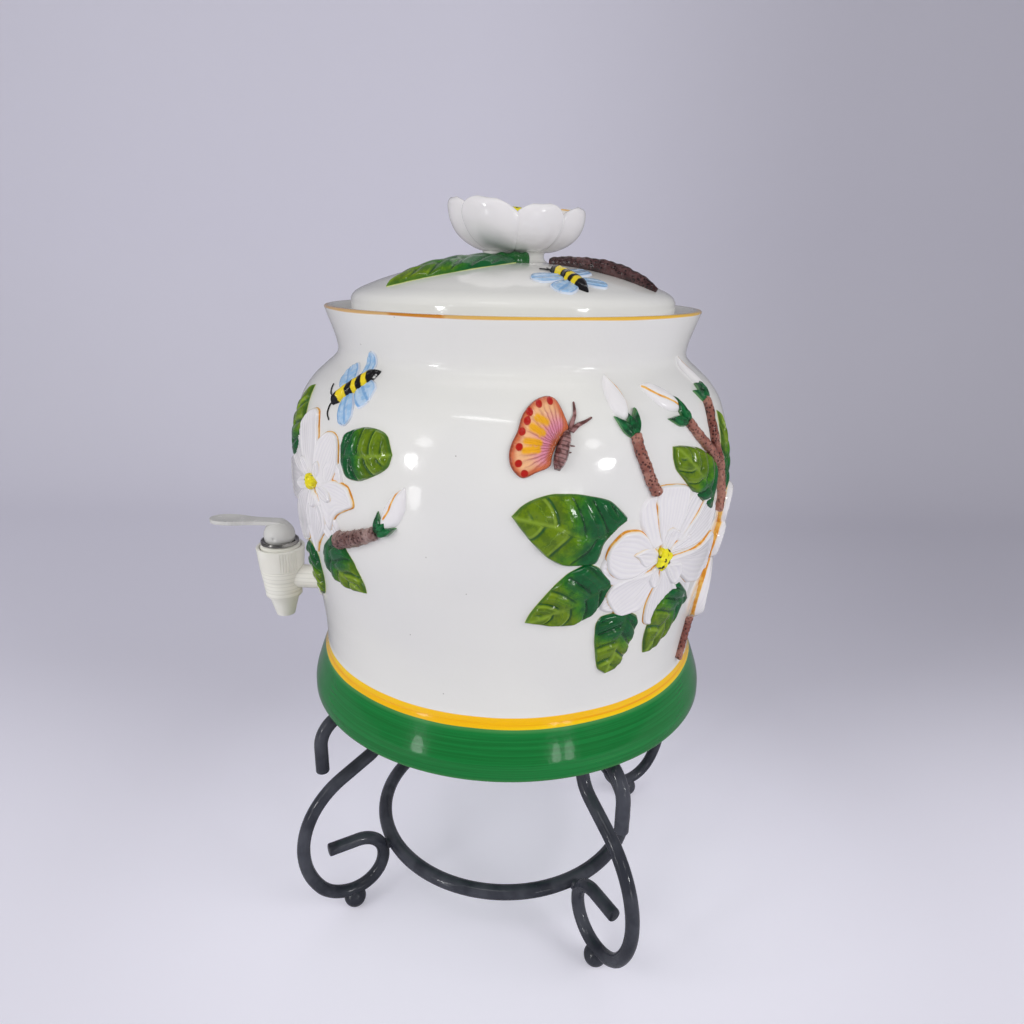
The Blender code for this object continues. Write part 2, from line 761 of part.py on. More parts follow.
def blade(skin, base, tip, halves, width, edge, crown, columns=4, bow=0.0):
    """A thin crowned solid on a skin, from base to tip. Width is a table along its length, which
    the two halves scale on the left and on the right."""
    along = tip - base
    length = along.length
    along = along.normalized()
    across = Vector((-along.y, along.x))
    rows = max(4, round(length / ROW_PITCH))
    top = []
    low = []
    for i in range(rows + 1):
        share = i / rows
        middle = base + along * (length * share) + across * (bow * length * math.sin(math.pi * share))
        for j in range(columns + 1):
            side = 2 * j / columns - 1
            half = halves[0 if side > 0 else 1] * eased(width, share)
            spot = middle + across * (half * side)
            rise = edge + crown * (1 - side * side) * min(1, eased(width, share) * CROWN_FILL)
            top.append(skin(spot.x, spot.y, rise))
            low.append(skin(spot.x, spot.y, 0))
    return slab(top, low, rows, columns)


def off_petal(turn, petals):
    """The angle to the nearest petal's middle as a share of half a petal, and its length share."""
    best = (math.inf, 1)
    for direction, share in petals:
        off = abs((turn - math.radians(direction) + math.pi) % math.tau - math.pi)
        best = min(best, (off / math.radians(PETAL_HALF_ANGLE), share))
    return best


def petal_spot(turn, out, petals, grow=0.0):
    """How far from the middle a place on the flower lies, and how high its face stands."""
    off, share = off_petal(turn, petals)
    reach = (PETAL_L * share * eased(PETAL_OUTLINE_SHARES, min(1, off)) + grow) * out
    rise = PETAL_EDGE + PETAL_CROWN * eased(PETAL_CROWN_SHARES, min(1, off)) * eased(PETAL_SWELL_SHARES, out)
    heart = HEART_L * (1 - HEART_WAVE_SHARE * (1 - math.cos(HEART_PETALS * turn)))
    if reach < HEART_DOME_R:
        rise += HEART_CROWN
    elif reach < heart:
        rise += HEART_CROWN / 2
    return reach, rise


def flower_solid(skin, petals, grow=0.0, low=0.0, high=None):
    """A flower in low relief: petals round a small heart. With grow it is the cutter that makes
    room for the flower in its neighbours."""
    points = [skin(0, 0, PETAL_EDGE + HEART_CROWN if high is None else high)]
    for out in FACE_RING_SHARES:
        for k in range(FLOWER_STEPS):
            turn = math.tau * k / FLOWER_STEPS
            reach, rise = petal_spot(turn, out, petals, grow)
            lift = rise if high is None else high
            points.append(skin(reach * math.cos(turn), reach * math.sin(turn), lift))
    under = len(points)
    points.append(skin(0, 0, low))
    for out in BACK_RING_SHARES:
        for k in range(FLOWER_STEPS):
            turn = math.tau * k / FLOWER_STEPS
            reach, _ = petal_spot(turn, out, petals, grow)
            points.append(skin(reach * math.cos(turn), reach * math.sin(turn), low))
    faces = fan_rings(0, len(FACE_RING_SHARES))
    faces += [tuple(reversed(f)) for f in fan_rings(under, len(BACK_RING_SHARES))]
    edge = 1 + (len(FACE_RING_SHARES) - 1) * FLOWER_STEPS
    low_edge = under + 1 + (len(BACK_RING_SHARES) - 1) * FLOWER_STEPS
    for k in range(FLOWER_STEPS):
        n = (k + 1) % FLOWER_STEPS
        faces.append((edge + k, low_edge + k, low_edge + n, edge + n))
    return points, faces


def fan_rings(first, rings):
    """Faces of a middle point and the rings round it."""
    faces = []
    for k in range(FLOWER_STEPS):
        faces.append((first, first + 1 + k, first + 1 + (k + 1) % FLOWER_STEPS))
    for row in range(rings - 1):
        for k in range(FLOWER_STEPS):
            n = (k + 1) % FLOWER_STEPS
            low = first + 1 + row * FLOWER_STEPS
            high = low + FLOWER_STEPS
            faces.append((low + k, high + k, high + n, low + n))
    return faces


def sprig_ends(base, tip):
    """The skin about a sprig's middle and its two ends on the flat map."""
    middle = ((base[0] + tip[0]) / 2, (base[1] + tip[1]) / 2)
    skin = wall_skin(middle[0], FOOT_Z + CROCK_H * middle[1])
    return skin, wall_place(*middle, *base), wall_place(*middle, *tip)


def sprig(base, tip, widths, width, edge, crown):
    """A blade on the crock. Widths are shares of its length."""
    skin, start, end = sprig_ends(base, tip)
    length = (end - start).length
    return blade(skin, start, end, (widths[0] * length, widths[1] * length), width, edge, crown)


def make_flowers(parent, cutters):
    for name, (centre, petals) in FLOWER_SHARES.items():
        skin = wall_skin(centre[0], FOOT_Z + CROCK_H * centre[1])
        piece(name, flower_solid(skin, petals), "petal_glaze", parent)
        cutters[name] = tool(name + "_room", flower_solid(skin, petals, TUCK, -OVERRUN, OVERRUN * 2), parent)


def make_twigs(parent, cutters):
    for name, (base, tip, bow, under) in TWIG_SHARES.items():
        skin, start, end = sprig_ends(base, tip)
        halves = (TWIG_HALF, TWIG_HALF)
        shape = blade(skin, start, end, halves, TWIG_WIDTH_SHARES, SPRIG_EDGE, TWIG_CROWN, 2, bow)
        twig = piece(name, shape, "twig_glaze", parent)
        tuck_under(twig, under, cutters)
        wide = TWIG_HALF + TUCK
        room = blade(skin, start, end, (wide, wide), TWIG_WIDTH_SHARES, OVERRUN * 2, 0, 2, bow)
        cutters[name] = tool(name + "_room", sunk(room, skin), parent)


def sunk(shape, skin):
    """A blade made into a cutter: its underside goes well into the wall."""
    points, faces = shape
    half = len(points) // 2
    deep = []
    for point in points[half:]:
        flat = Vector((point.x, point.y, 0)).normalized()
        deep.append(point - flat * OVERRUN)
    return points[:half] + deep, faces


def tuck_under(thing, names, cutters):
    """Cuts a sprig back where it tucks under others."""
    for name in names:
        if name in cutters:
            combine(thing, cutters[name], "DIFFERENCE")


def make_leaves(parent, cutters):
    for name, (base, tip, widths, under) in LEAF_SHARES.items():
        shape = sprig(base, tip, widths, LEAF_WIDTH_SHARES, SPRIG_EDGE, LEAF_CROWN)
        leaf = piece(name, shape, "leaf_glaze", parent)
        tuck_under(leaf, under, cutters)
        skin, start, end = sprig_ends(base, tip)
        length = (end - start).length
        left = widths[0] * length + TUCK
        right = widths[1] * length + TUCK
        room = blade(skin, start, end, (left, right), LEAF_WIDTH_SHARES, OVERRUN * 2, 0)
        cutters[name] = tool(name + "_room", sunk(room, skin), parent)


def make_buds(parent):
    for name, (base, tip, half) in BUD_SHARES.items():
        shape = sprig(base, tip, (half, half), BUD_WIDTH_SHARES, SPRIG_EDGE, BUD_CROWN)
        piece(name, shape, "petal_glaze", parent)


def make_insect(name, skin, ends, half, wings, look, parent):
    """A body seen from above and its wings, pressed in one piece of clay.

    Each wing has its root along the body, its direction from the head towards the left in
    degrees, its length and its half width.
    """
    head, tail = ends
    along = tail - head
    length = along.length
    along = along.normalized()
    across = Vector((-along.y, along.x))
    halves = (half * length, half * length)
    body = blade(skin, head, tail, halves, BODY_WIDTH_SHARES, SPRIG_EDGE, INSECT_CROWN, 2)
    insect = piece(name, body, look, parent)
    for k, (start, angle, reach, wide) in enumerate(wings):
        root = head + along * (length * start)
        turn = math.radians(angle)
        tip = root + (across * math.sin(turn) - along * math.cos(turn)) * (reach * length)
        halves = (wide * length, wide * length)
        wing = blade(skin, root, tip, halves, WING_WIDTH_SHARES, SPRIG_EDGE, WING_CROWN, 2)
        combine(insect, tool(name + "_wing_" + str(k), wing, parent), "UNION")


def make_insects(parent):
    head, tail, half = BUTTERFLY_SHARES
    skin, *ends = sprig_ends(head, tail)
    make_insect("butterfly", skin, ends, half, BUTTERFLY_WING_SHARES, "butterfly_glaze", parent)
    head, tail, half = BEE_SHARES
    skin, *ends = sprig_ends(head, tail)
    make_insect("bee", skin, ends, half, BEE_WING_SHARES, "bee_glaze", parent)


def lid_spot(place):
    azimuth, share = place
    turn = math.radians(azimuth)
    return Vector((math.cos(turn), math.sin(turn))) * (LID_R * share)


def make_lid_sprigs(parent):
    base, tip, widths = LID_LEAF_SHARES
    start = lid_spot(base)
    end = lid_spot(tip)
    length = (end - start).length
    halves = (widths[0] * length, widths[1] * length)
    leaf = blade(lid_skin, start, end, halves, LEAF_WIDTH_SHARES, SPRIG_EDGE, LID_CROWN)
    piece("lid_leaf", leaf, "leaf_glaze", parent)
    base, tip, bow = LID_TWIG_SHARES
    start = lid_spot(base)
    end = lid_spot(tip)
    halves = (TWIG_HALF, TWIG_HALF)
    twig = blade(lid_skin, start, end, halves, TWIG_WIDTH_SHARES, SPRIG_EDGE, LID_CROWN, 2, bow)
    piece("lid_twig", twig, "twig_glaze", parent)
    head, tail, half = LID_BEE_SHARES
    ends = (lid_spot(head), lid_spot(tail))
    make_insect("lid_bee", lid_skin, ends, half, BEE_WING_SHARES, "bee_glaze", parent)


def ring_round(radius, rise):
    """A ring rod about the stand's axis."""
    path = []
    for k in range(RING_STEPS):
        turn = math.radians(LEG_START_AZ) + math.tau * k / RING_STEPS
        path.append(Vector((radius * math.cos(turn), radius * math.sin(turn), rise)))
    return sweep(path, RING_ROD_R, ROD_SIDES, Vector((0, 0, 1)), closed=True)


def leg_path(azimuth):
    """The scroll's line set up in the leg's own upright plane."""
    turn = math.radians(azimuth)
    return [Vector((r * math.cos(turn), r * math.sin(turn), z)) for r, z in SCROLL]


def ball_line():
    """The ball foot's section, with a small flat where it stands."""
    start = math.acos((BALL_R - BALL_FLAT) / BALL_R)
    line = [(0, 0)]
    for k in range(BALL_RINGS):
        turn = start + (math.pi - start) * k / BALL_RINGS
        line.append((BALL_R * math.sin(turn), BALL_R - BALL_FLAT - BALL_R * math.cos(turn)))
    line.append((0, 2 * BALL_R - BALL_FLAT))
    return line


def make_stand(parent):
    for k in range(LEG_COUNT):
        azimuth = LEG_START_AZ + 360 * k / LEG_COUNT
        turn = math.radians(azimuth)
        side_on = Vector((-math.sin(turn), math.cos(turn), 0))
        path = leg_path(azimuth)
        piece("leg_" + str(k + 1), sweep(path, LEG_ROD_R, ROD_SIDES, side_on), "black_iron", parent)
        spot = (LEG_TOE_RADIUS * math.cos(turn), LEG_TOE_RADIUS * math.sin(turn))
        foot = piece("ball_foot_" + str(k + 1), lathe(ball_line(), BALL_STEPS, spot), "black_iron", parent)
        saddle = tool("saddle_" + str(k + 1), sweep(path, LEG_ROD_R + GAP, ROD_SIDES, side_on), parent)
        combine(foot, saddle, "DIFFERENCE")
    piece("lower_ring", ring_round(*LOWER_RING), "black_iron", parent)
    piece("upper_ring", ring_round(*UPPER_RING), "black_iron", parent)


def body_line():
    """The tap body's section: stepped barrel, spout, outlet, seat and chamber."""
    chamber_r = BODY_FOOT_R - BODY_WALL
    socket_r = BODY_R - BODY_WALL
    bonnet_low = BODY_TOP - BONNET_T
    line = [(SPOUT_BORE_R, SPOUT_END), (SPOUT_TIP_R, SPOUT_END)]
    line += [(SPOUT_R, BODY_FOOT), (BODY_FOOT_R, BODY_FOOT)]
    for k in range(RING_STEP_COUNT):
        share = (k + 1) / (RING_STEP_COUNT + 2)
        radius = BODY_FOOT_R + (BODY_R - BODY_FOOT_R) * share
        height = BODY_FOOT + (BODY_TOP - BODY_FOOT) * share
        line += [(radius - RING_STEP_T, height), (radius, height + RING_STEP_T)]
    line += [(BODY_R, BODY_TOP), (socket_r, BODY_TOP), (socket_r, bonnet_low), (chamber_r, bonnet_low)]
    line += [(chamber_r, SEAT_Z), (SPOUT_BORE_R, SEAT_Z)]
    return line


def make_tap_body(parent):
    axis = (0, TAP_Y)
    body = piece("tap_body", lathe(body_line(), TURN_STEPS // 2, axis), "tap_plastic", parent)
    flange_y = BOSS_Y - GAP - WASHER_T - GAP
    shank_end = BOSS_Y + SHANK_TAIL
    root_y = TAP_Y + BODY_FOOT_R - BODY_WALL / 2
    shank_len = shank_end - root_y
    flange_low = shank_end - flange_y
    line = [(0, 0), (SHANK_R, 0), (SHANK_R, flange_low), (FLANGE_R, flange_low)]
    line += [(FLANGE_R, flange_low + FLANGE_T), (SHANK_R, flange_low + FLANGE_T)]
    line += [(SHANK_R, shank_len), (0, shank_len)]
    shank = tool("tap_shank", turned(lathe(line, SMALL_TURN_STEPS), along_y(shank_end, TAP_Z)), parent)
    combine(body, shank, "UNION")
    bore = disc_line(SHANK_BORE_R, -OVERRUN, shank_end - TAP_Y)
    cut = turned(lathe(bore, SMALL_TURN_STEPS), along_y(shank_end, TAP_Z))
    combine(body, tool("tap_shank_bore", cut, parent), "DIFFERENCE")


def washer(name, start, thick, outer, look, parent):
    """A flat ring round the shank, from a place on Y towards -Y."""
    inner = SHANK_R + GAP
    line = ((inner, 0), (outer, 0), (outer, thick), (inner, thick))
    piece(name, turned(lathe(line, SMALL_TURN_STEPS), along_y(start, TAP_Z)), look, parent)


def make_tap_fixings(parent):
    washer("outer_washer", BOSS_Y - GAP, WASHER_T, WASHER_R, "silicone", parent)
    washer("inner_washer", PAD_Y + GAP + WASHER_T, WASHER_T, WASHER_R, "silicone", parent)
    nut_y = PAD_Y + 2 * GAP + WASHER_T + NUT_T
    corner = NUT_ACROSS / 2 / math.cos(math.pi / NUT_SIDES)
    lay = along_y(nut_y, TAP_Z)
    shape = turned(lathe(disc_line(corner, 0, NUT_T), NUT_SIDES), lay)
    nut = piece("back_nut", shape, "tap_plastic", parent)
    line = disc_line(SHANK_R + GAP, -OVERRUN, NUT_T + OVERRUN)
    bore = tool("nut_bore", turned(lathe(line, SMALL_TURN_STEPS), lay), parent)
    combine(nut, bore, "DIFFERENCE")


def make_bonnet(parent):
    axis = (0, TAP_Y)
    low = BODY_TOP - BONNET_T + GAP
    outer = BODY_R - BODY_WALL - GAP
    line = [(GUIDE_R, low), (outer, low), (outer, BODY_TOP - BONNET_RIM)]
    line += [(outer - BONNET_RIM, BONNET_TOP), (GUIDE_R, BONNET_TOP)]
    piece("bonnet", lathe(line, SMALL_TURN_STEPS, axis), "tap_plastic", parent)
    base = BONNET_TOP + GAP
    inner = math.hypot(STEM_HEAD_HALF, STEM_HEAD_R) + RUNNING_GAP
    line = [(inner, base), (WEAR_RING_R, base), (WEAR_RING_R, WEAR_TOP + WEAR_RING_LIP)]
    lip_in = WEAR_RING_R - WEAR_RING_T
    line += [(lip_in, WEAR_TOP + WEAR_RING_LIP), (lip_in, WEAR_TOP), (inner, WEAR_TOP)]
    piece("wear_ring", lathe(line, TURN_STEPS // 2, axis), "steel", parent)


def stem_line():
    """The stem's section below its head: guide, collar under the spring and the button in the cup."""
    cup_top = SEAT_Z + GAP + CUP_H
    button_z = cup_top - CUP_SOCKET + GAP
    collar_z = cup_top + GAP
    return [
        (0, button_z),
        (STEM_R, button_z),
        (STEM_R, collar_z),
        (COLLAR_R, collar_z),
        (COLLAR_R, collar_z + COLLAR_T),
        (STEM_R, collar_z + COLLAR_T),
        (STEM_R, PIN_Z),
        (0, PIN_Z),
    ]


def make_stem(parent):
    axis = (0, TAP_Y)
    stem = piece("stem", lathe(stem_line(), PIN_STEPS, axis), "tap_plastic", parent)
    half = STEM_HEAD_HALF
    line = ((0, -half), (STEM_HEAD_R, -half), (STEM_HEAD_R, half), (0, half))
    lay = Matrix.Translation((0, TAP_Y, PIN_Z)) @ Matrix.Rotation(math.radians(90), 4, "Y")
    eye = tool("stem_eye", turned(lathe(line, SMALL_TURN_STEPS), lay), parent)
    low = (-half, TAP_Y - STEM_HEAD_R, BONNET_TOP + GAP)
    neck = tool("stem_neck", block(low, (half, TAP_Y + STEM_HEAD_R, PIN_Z)), parent)
    combine(stem, neck, "UNION")
    combine(stem, eye, "UNION")
    hole_r = PIN_R + GAP
    line = ((0, -half - OVERRUN), (hole_r, -half - OVERRUN), (hole_r, half + OVERRUN), (0, half + OVERRUN))
    combine(stem, tool("stem_pin_hole", turned(lathe(line, PIN_STEPS), lay), parent), "DIFFERENCE")
    cup_low = SEAT_Z + GAP
    cup_top = cup_low + CUP_H
    socket_r = STEM_R + GAP
    cup = [(0, cup_low), (SPOUT_BORE_R, cup_low), (CUP_R, cup_low + FOOT_ROUND)]
    cup += [(CUP_R, cup_top), (socket_r, cup_top)]
    cup += [(socket_r, cup_top - CUP_SOCKET), (0, cup_top - CUP_SOCKET)]
    piece("seat_cup", lathe(cup, SMALL_TURN_STEPS, axis), "silicone", parent)


def block(low, high):
    """A box between two corners, for a tool."""
    points = [(x, y, z) for x in (low[0], high[0]) for y in (low[1], high[1]) for z in (low[2], high[2])]
    faces = [(0, 1, 3, 2), (4, 6, 7, 5), (0, 4, 5, 1), (2, 3, 7, 6), (0, 2, 6, 4), (1, 5, 7, 3)]
    return points, faces


def make_spring(parent):
    """The return spring, a real coil between the stem's collar and the bonnet."""
    low = SEAT_Z + GAP + CUP_H + GAP + COLLAR_T + GAP + SPRING_WIRE_R
    high = BODY_TOP - BONNET_T - SPRING_WIRE_R
    count = SPRING_TURNS * SPRING_TURN_STEPS
    path = []
    for k in range(count + 1):
        turn = math.tau * k / SPRING_TURN_STEPS
        rise = low + (high - low) * k / count
        path.append(Vector((SPRING_R * math.cos(turn), TAP_Y + SPRING_R * math.sin(turn), rise)))
    points = []
    for k, place in enumerate(path):
        out = Vector((place.x, place.y - TAP_Y, 0)).normalized()
        for s in range(SPRING_SIDES):
            turn = math.tau * s / SPRING_SIDES
            points.append(place + (out * math.cos(turn) + Vector((0, 0, 1)) * math.sin(turn)) * SPRING_WIRE_R)
    faces = []
    for k in range(count):
        for s in range(SPRING_SIDES):
            t = (s + 1) % SPRING_SIDES
            n = k + 1
            low = k * SPRING_SIDES
            high = n * SPRING_SIDES
            faces.append((low + s, low + t, high + t, high + s))
    faces.append(tuple(reversed(range(SPRING_SIDES))))
    faces.append(tuple(range(count * SPRING_SIDES, (count + 1) * SPRING_SIDES)))
    piece("return_spring", (points, faces), "steel", parent)


def heel_line():
    """The hub's underside, seen from its side as (along Y, height) from the pin.

    The heel is the involute that lifts the pin in step with the lever's angle. At each angle its
    lowest point lies LIFT_PER_RADIAN in front of the pin, and its depth grows by as much a radian.
    """
    line = [(HUB_R + OVERRUN, -HUB_DROP)]
    for k in range(CAM_STEPS + 1):
        turn = math.radians(LEVER_SWING) * k / CAM_STEPS
        depth = HUB_DROP + LIFT_PER_RADIAN * turn
        y = -depth * math.sin(turn) - LIFT_PER_RADIAN * math.cos(turn)
        z = -depth * math.cos(turn) + LIFT_PER_RADIAN * math.sin(turn)
        line.append((y, z))
    line.append((line[-1][0] - HUB_R * math.cos(turn), line[-1][1] + HUB_R * math.sin(turn)))
    return line


def extrude_x(outline, half):
    """A closed outline of (Y, height) drawn out to both sides along X."""
    count = len(outline)
    points = [(side * half, y, z) for side in (-1, 1) for y, z in outline]
    faces = [tuple(range(count)), tuple(range(2 * count - 1, count - 1, -1))]
    for k in range(count):
        n = (k + 1) % count
        faces.append((k, count + k, count + n, n))
    return points, faces


def shifted(shape, place):
    return turned(shape, Matrix.Translation(place))


def arm_shape():
    """The lever's arm and its dished paddle, from the hub's middle out to the tip."""
    columns = 4
    top = []
    low = []
    for share, wide, dish in ARM_SHARES:
        for j in range(columns + 1):
            side = 2 * j / columns - 1
            drop = ARM_DISH * dish * (1 - side * side)
            top.append((HUB_R * wide * side, -ARM_REACH * share, HUB_R - drop))
            low.append((HUB_R * wide * side, -ARM_REACH * share, HUB_R - ARM_T - drop / 2))
    return slab(top, low, len(ARM_SHARES) - 1, columns)


def make_lever(parent):
    """The lever: a domed hub with a heel cut under it, a slot for the stem and a flat arm."""
    pin = Vector((0, TAP_Y, PIN_Z))
    low_turn = math.asin(HUB_DROP / HUB_R)
    line = [(0, -HUB_DROP)]
    for k in range(DOME_RINGS):
        turn = -low_turn + (math.pi / 2 + low_turn) * k / DOME_RINGS
        line.append((HUB_R * math.cos(turn), HUB_R * math.sin(turn)))
    line.append((0, HUB_R))
    hub = piece("lever", shifted(lathe(line, TURN_STEPS // 2), pin), "lever_plastic", parent)
    combine(hub, tool("lever_arm", shifted(arm_shape(), pin), parent), "UNION")
    under = heel_line()
    under += [(under[-1][0], -HUB_R * 2), (under[0][0], -HUB_R * 2)]
    cut = shifted(extrude_x(under, HUB_R + OVERRUN), pin)
    combine(hub, tool("lever_heel_cut", cut, parent), "DIFFERENCE")
    slot_half = STEM_HEAD_HALF + RUNNING_GAP
    slot = block((-slot_half, -SLOT_FRONT, -HUB_R), (slot_half, SLOT_BACK, SLOT_TOP))
    combine(hub, tool("lever_slot", shifted(slot, pin), parent), "DIFFERENCE")
    lay = Matrix.Translation(pin) @ Matrix.Rotation(math.radians(90), 4, "Y")
    hole_r = PIN_R + RUNNING_GAP
    reach = HUB_R + OVERRUN
    line = ((0, -reach), (hole_r, -reach), (hole_r, reach), (0, reach))
    combine(hub, tool("lever_pin_hole", turned(lathe(line, PIN_STEPS), lay), parent), "DIFFERENCE")


def make_pin(parent):
    lay = Matrix.Translation((0, TAP_Y, PIN_Z)) @ Matrix.Rotation(math.radians(90), 4, "Y")
    line = ((0, -PIN_HALF), (PIN_R, -PIN_HALF), (PIN_R, PIN_HALF), (0, PIN_HALF))
    piece("lever_pin", turned(lathe(line, PIN_STEPS), lay), "steel", parent)


def in_mm(*lengths):
    return [round(length / MM, 2) for length in lengths]


def main():
    clear_scene()
    stand = empty("stand_place", (0, 0, 0))
    make_stand(stand)
    crock = empty("crock_place", (0, 0, FOOT_Z), stand)
    make_crock(crock)
    cutters = {}
    make_flowers(crock, cutters)
    make_twigs(crock, cutters)
    make_leaves(crock, cutters)
    make_buds(crock)
    make_insects(crock)
    make_tap_body(crock)
    make_tap_fixings(crock)
    make_bonnet(crock)
    lid = empty("lid_place", (0, 0, LID_Z), crock)
    make_lid(lid)
    make_knob(lid)
    make_lid_sprigs(lid)
    stem = empty("stem_place", (0, TAP_Y, SEAT_Z), crock)
    make_stem(stem)
    make_spring(stem)
    lever = empty("lever_place", (0, TAP_Y, PIN_Z), stem)
    make_lever(lever)
    make_pin(stem)
    print("foot", in_mm(FOOT_Z), "rim", in_mm(RIM_Z), "tap", in_mm(TAP_Y, TAP_Z), "pin", in_mm(PIN_Z))
    print("lower ring", in_mm(*LOWER_RING), "upper ring", in_mm(*UPPER_RING), "arch", in_mm(*ARCH_CENTRE))


main()
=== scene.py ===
# %% [markdown]
# # A glazed clay water pot with a tap, on an iron stand
#
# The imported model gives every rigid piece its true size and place. This lesson dresses it: smooth
# glazed clay in place of the faceted solids, sprigs of flowers and leaves with their painted
# lines, black iron rods, a plastic tap, and then light, floor and camera.

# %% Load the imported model
import math

import bpy
import numpy as np
from mathutils import Matrix, Vector


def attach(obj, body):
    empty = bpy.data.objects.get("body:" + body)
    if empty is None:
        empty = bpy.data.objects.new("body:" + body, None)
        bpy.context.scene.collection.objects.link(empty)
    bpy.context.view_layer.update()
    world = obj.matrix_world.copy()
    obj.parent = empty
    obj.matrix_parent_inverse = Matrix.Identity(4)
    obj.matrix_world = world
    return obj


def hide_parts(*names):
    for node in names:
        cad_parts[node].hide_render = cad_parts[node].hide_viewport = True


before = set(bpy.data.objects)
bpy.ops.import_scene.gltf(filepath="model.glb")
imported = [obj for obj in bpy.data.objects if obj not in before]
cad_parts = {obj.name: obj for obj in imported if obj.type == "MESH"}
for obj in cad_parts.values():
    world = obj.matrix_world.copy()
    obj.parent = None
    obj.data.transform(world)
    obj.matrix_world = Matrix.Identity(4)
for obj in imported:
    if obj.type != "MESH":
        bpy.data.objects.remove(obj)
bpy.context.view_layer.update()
MM = 0.001

# %% [markdown]
# The camera stands where the photographer stood: 42 cm up and 46 cm from the pot's axis, a little
# wide, looking down by 18 degrees. It is set before anything is modelled, because every shape is
# then judged from there.

# %% Camera
FOCAL_PX = 737.5
IMAGE_PX = 1024
SENSOR_MM = 36.0
EYE_BACK = 0.4559
EYE_UP = 0.4184
LOOK_SIDE = math.radians(0.19)
LOOK_DOWN = math.radians(18.42)
LOOK_ROLL = math.radians(1.01)
LOOK_FROM = math.radians(95)


def place_camera():
    ahead = Vector((
        math.sin(LOOK_SIDE) * math.cos(LOOK_DOWN),
        math.cos(LOOK_SIDE) * math.cos(LOOK_DOWN),
        -math.sin(LOOK_DOWN),
    ))
    level = Vector((math.cos(LOOK_SIDE), -math.sin(LOOK_SIDE), 0))
    upward = level.cross(ahead)
    right = level * math.cos(LOOK_ROLL) + upward * math.sin(LOOK_ROLL)
    up = upward * math.cos(LOOK_ROLL) - level * math.sin(LOOK_ROLL)
    stand = Matrix((
        (right.x, up.x, -ahead.x, 0),
        (right.y, up.y, -ahead.y, -EYE_BACK),
        (right.z, up.z, -ahead.z, EYE_UP),
        (0, 0, 0, 1),
    ))
    lens = bpy.data.cameras.new("photo_camera")
    lens.lens = FOCAL_PX * SENSOR_MM / IMAGE_PX
    lens.sensor_width = SENSOR_MM
    lens.clip_start = 0.01
    camera = bpy.data.objects.new("photo_camera", lens)
    bpy.context.collection.objects.link(camera)
    camera.matrix_world = Matrix.Rotation(LOOK_FROM, 4, "Z") @ stand
    bpy.context.scene.camera = camera
    return camera


camera = place_camera()
print("camera at", [round(v, 3) for v in camera.location])

# %% [markdown]
# Materials are made of nodes. This small class keeps their recipes short: each method adds one
# node and gives back its output, so a finish reads like the way the potter paints it.

# %% A helper for painting with nodes
def srgb(red, green, blue):
    """A colour as the eye reads it, 0 to 255, as the linear colour that a shader takes."""
    return tuple((c / 255) ** 2.2 for c in (red, green, blue)) + (1.0,)


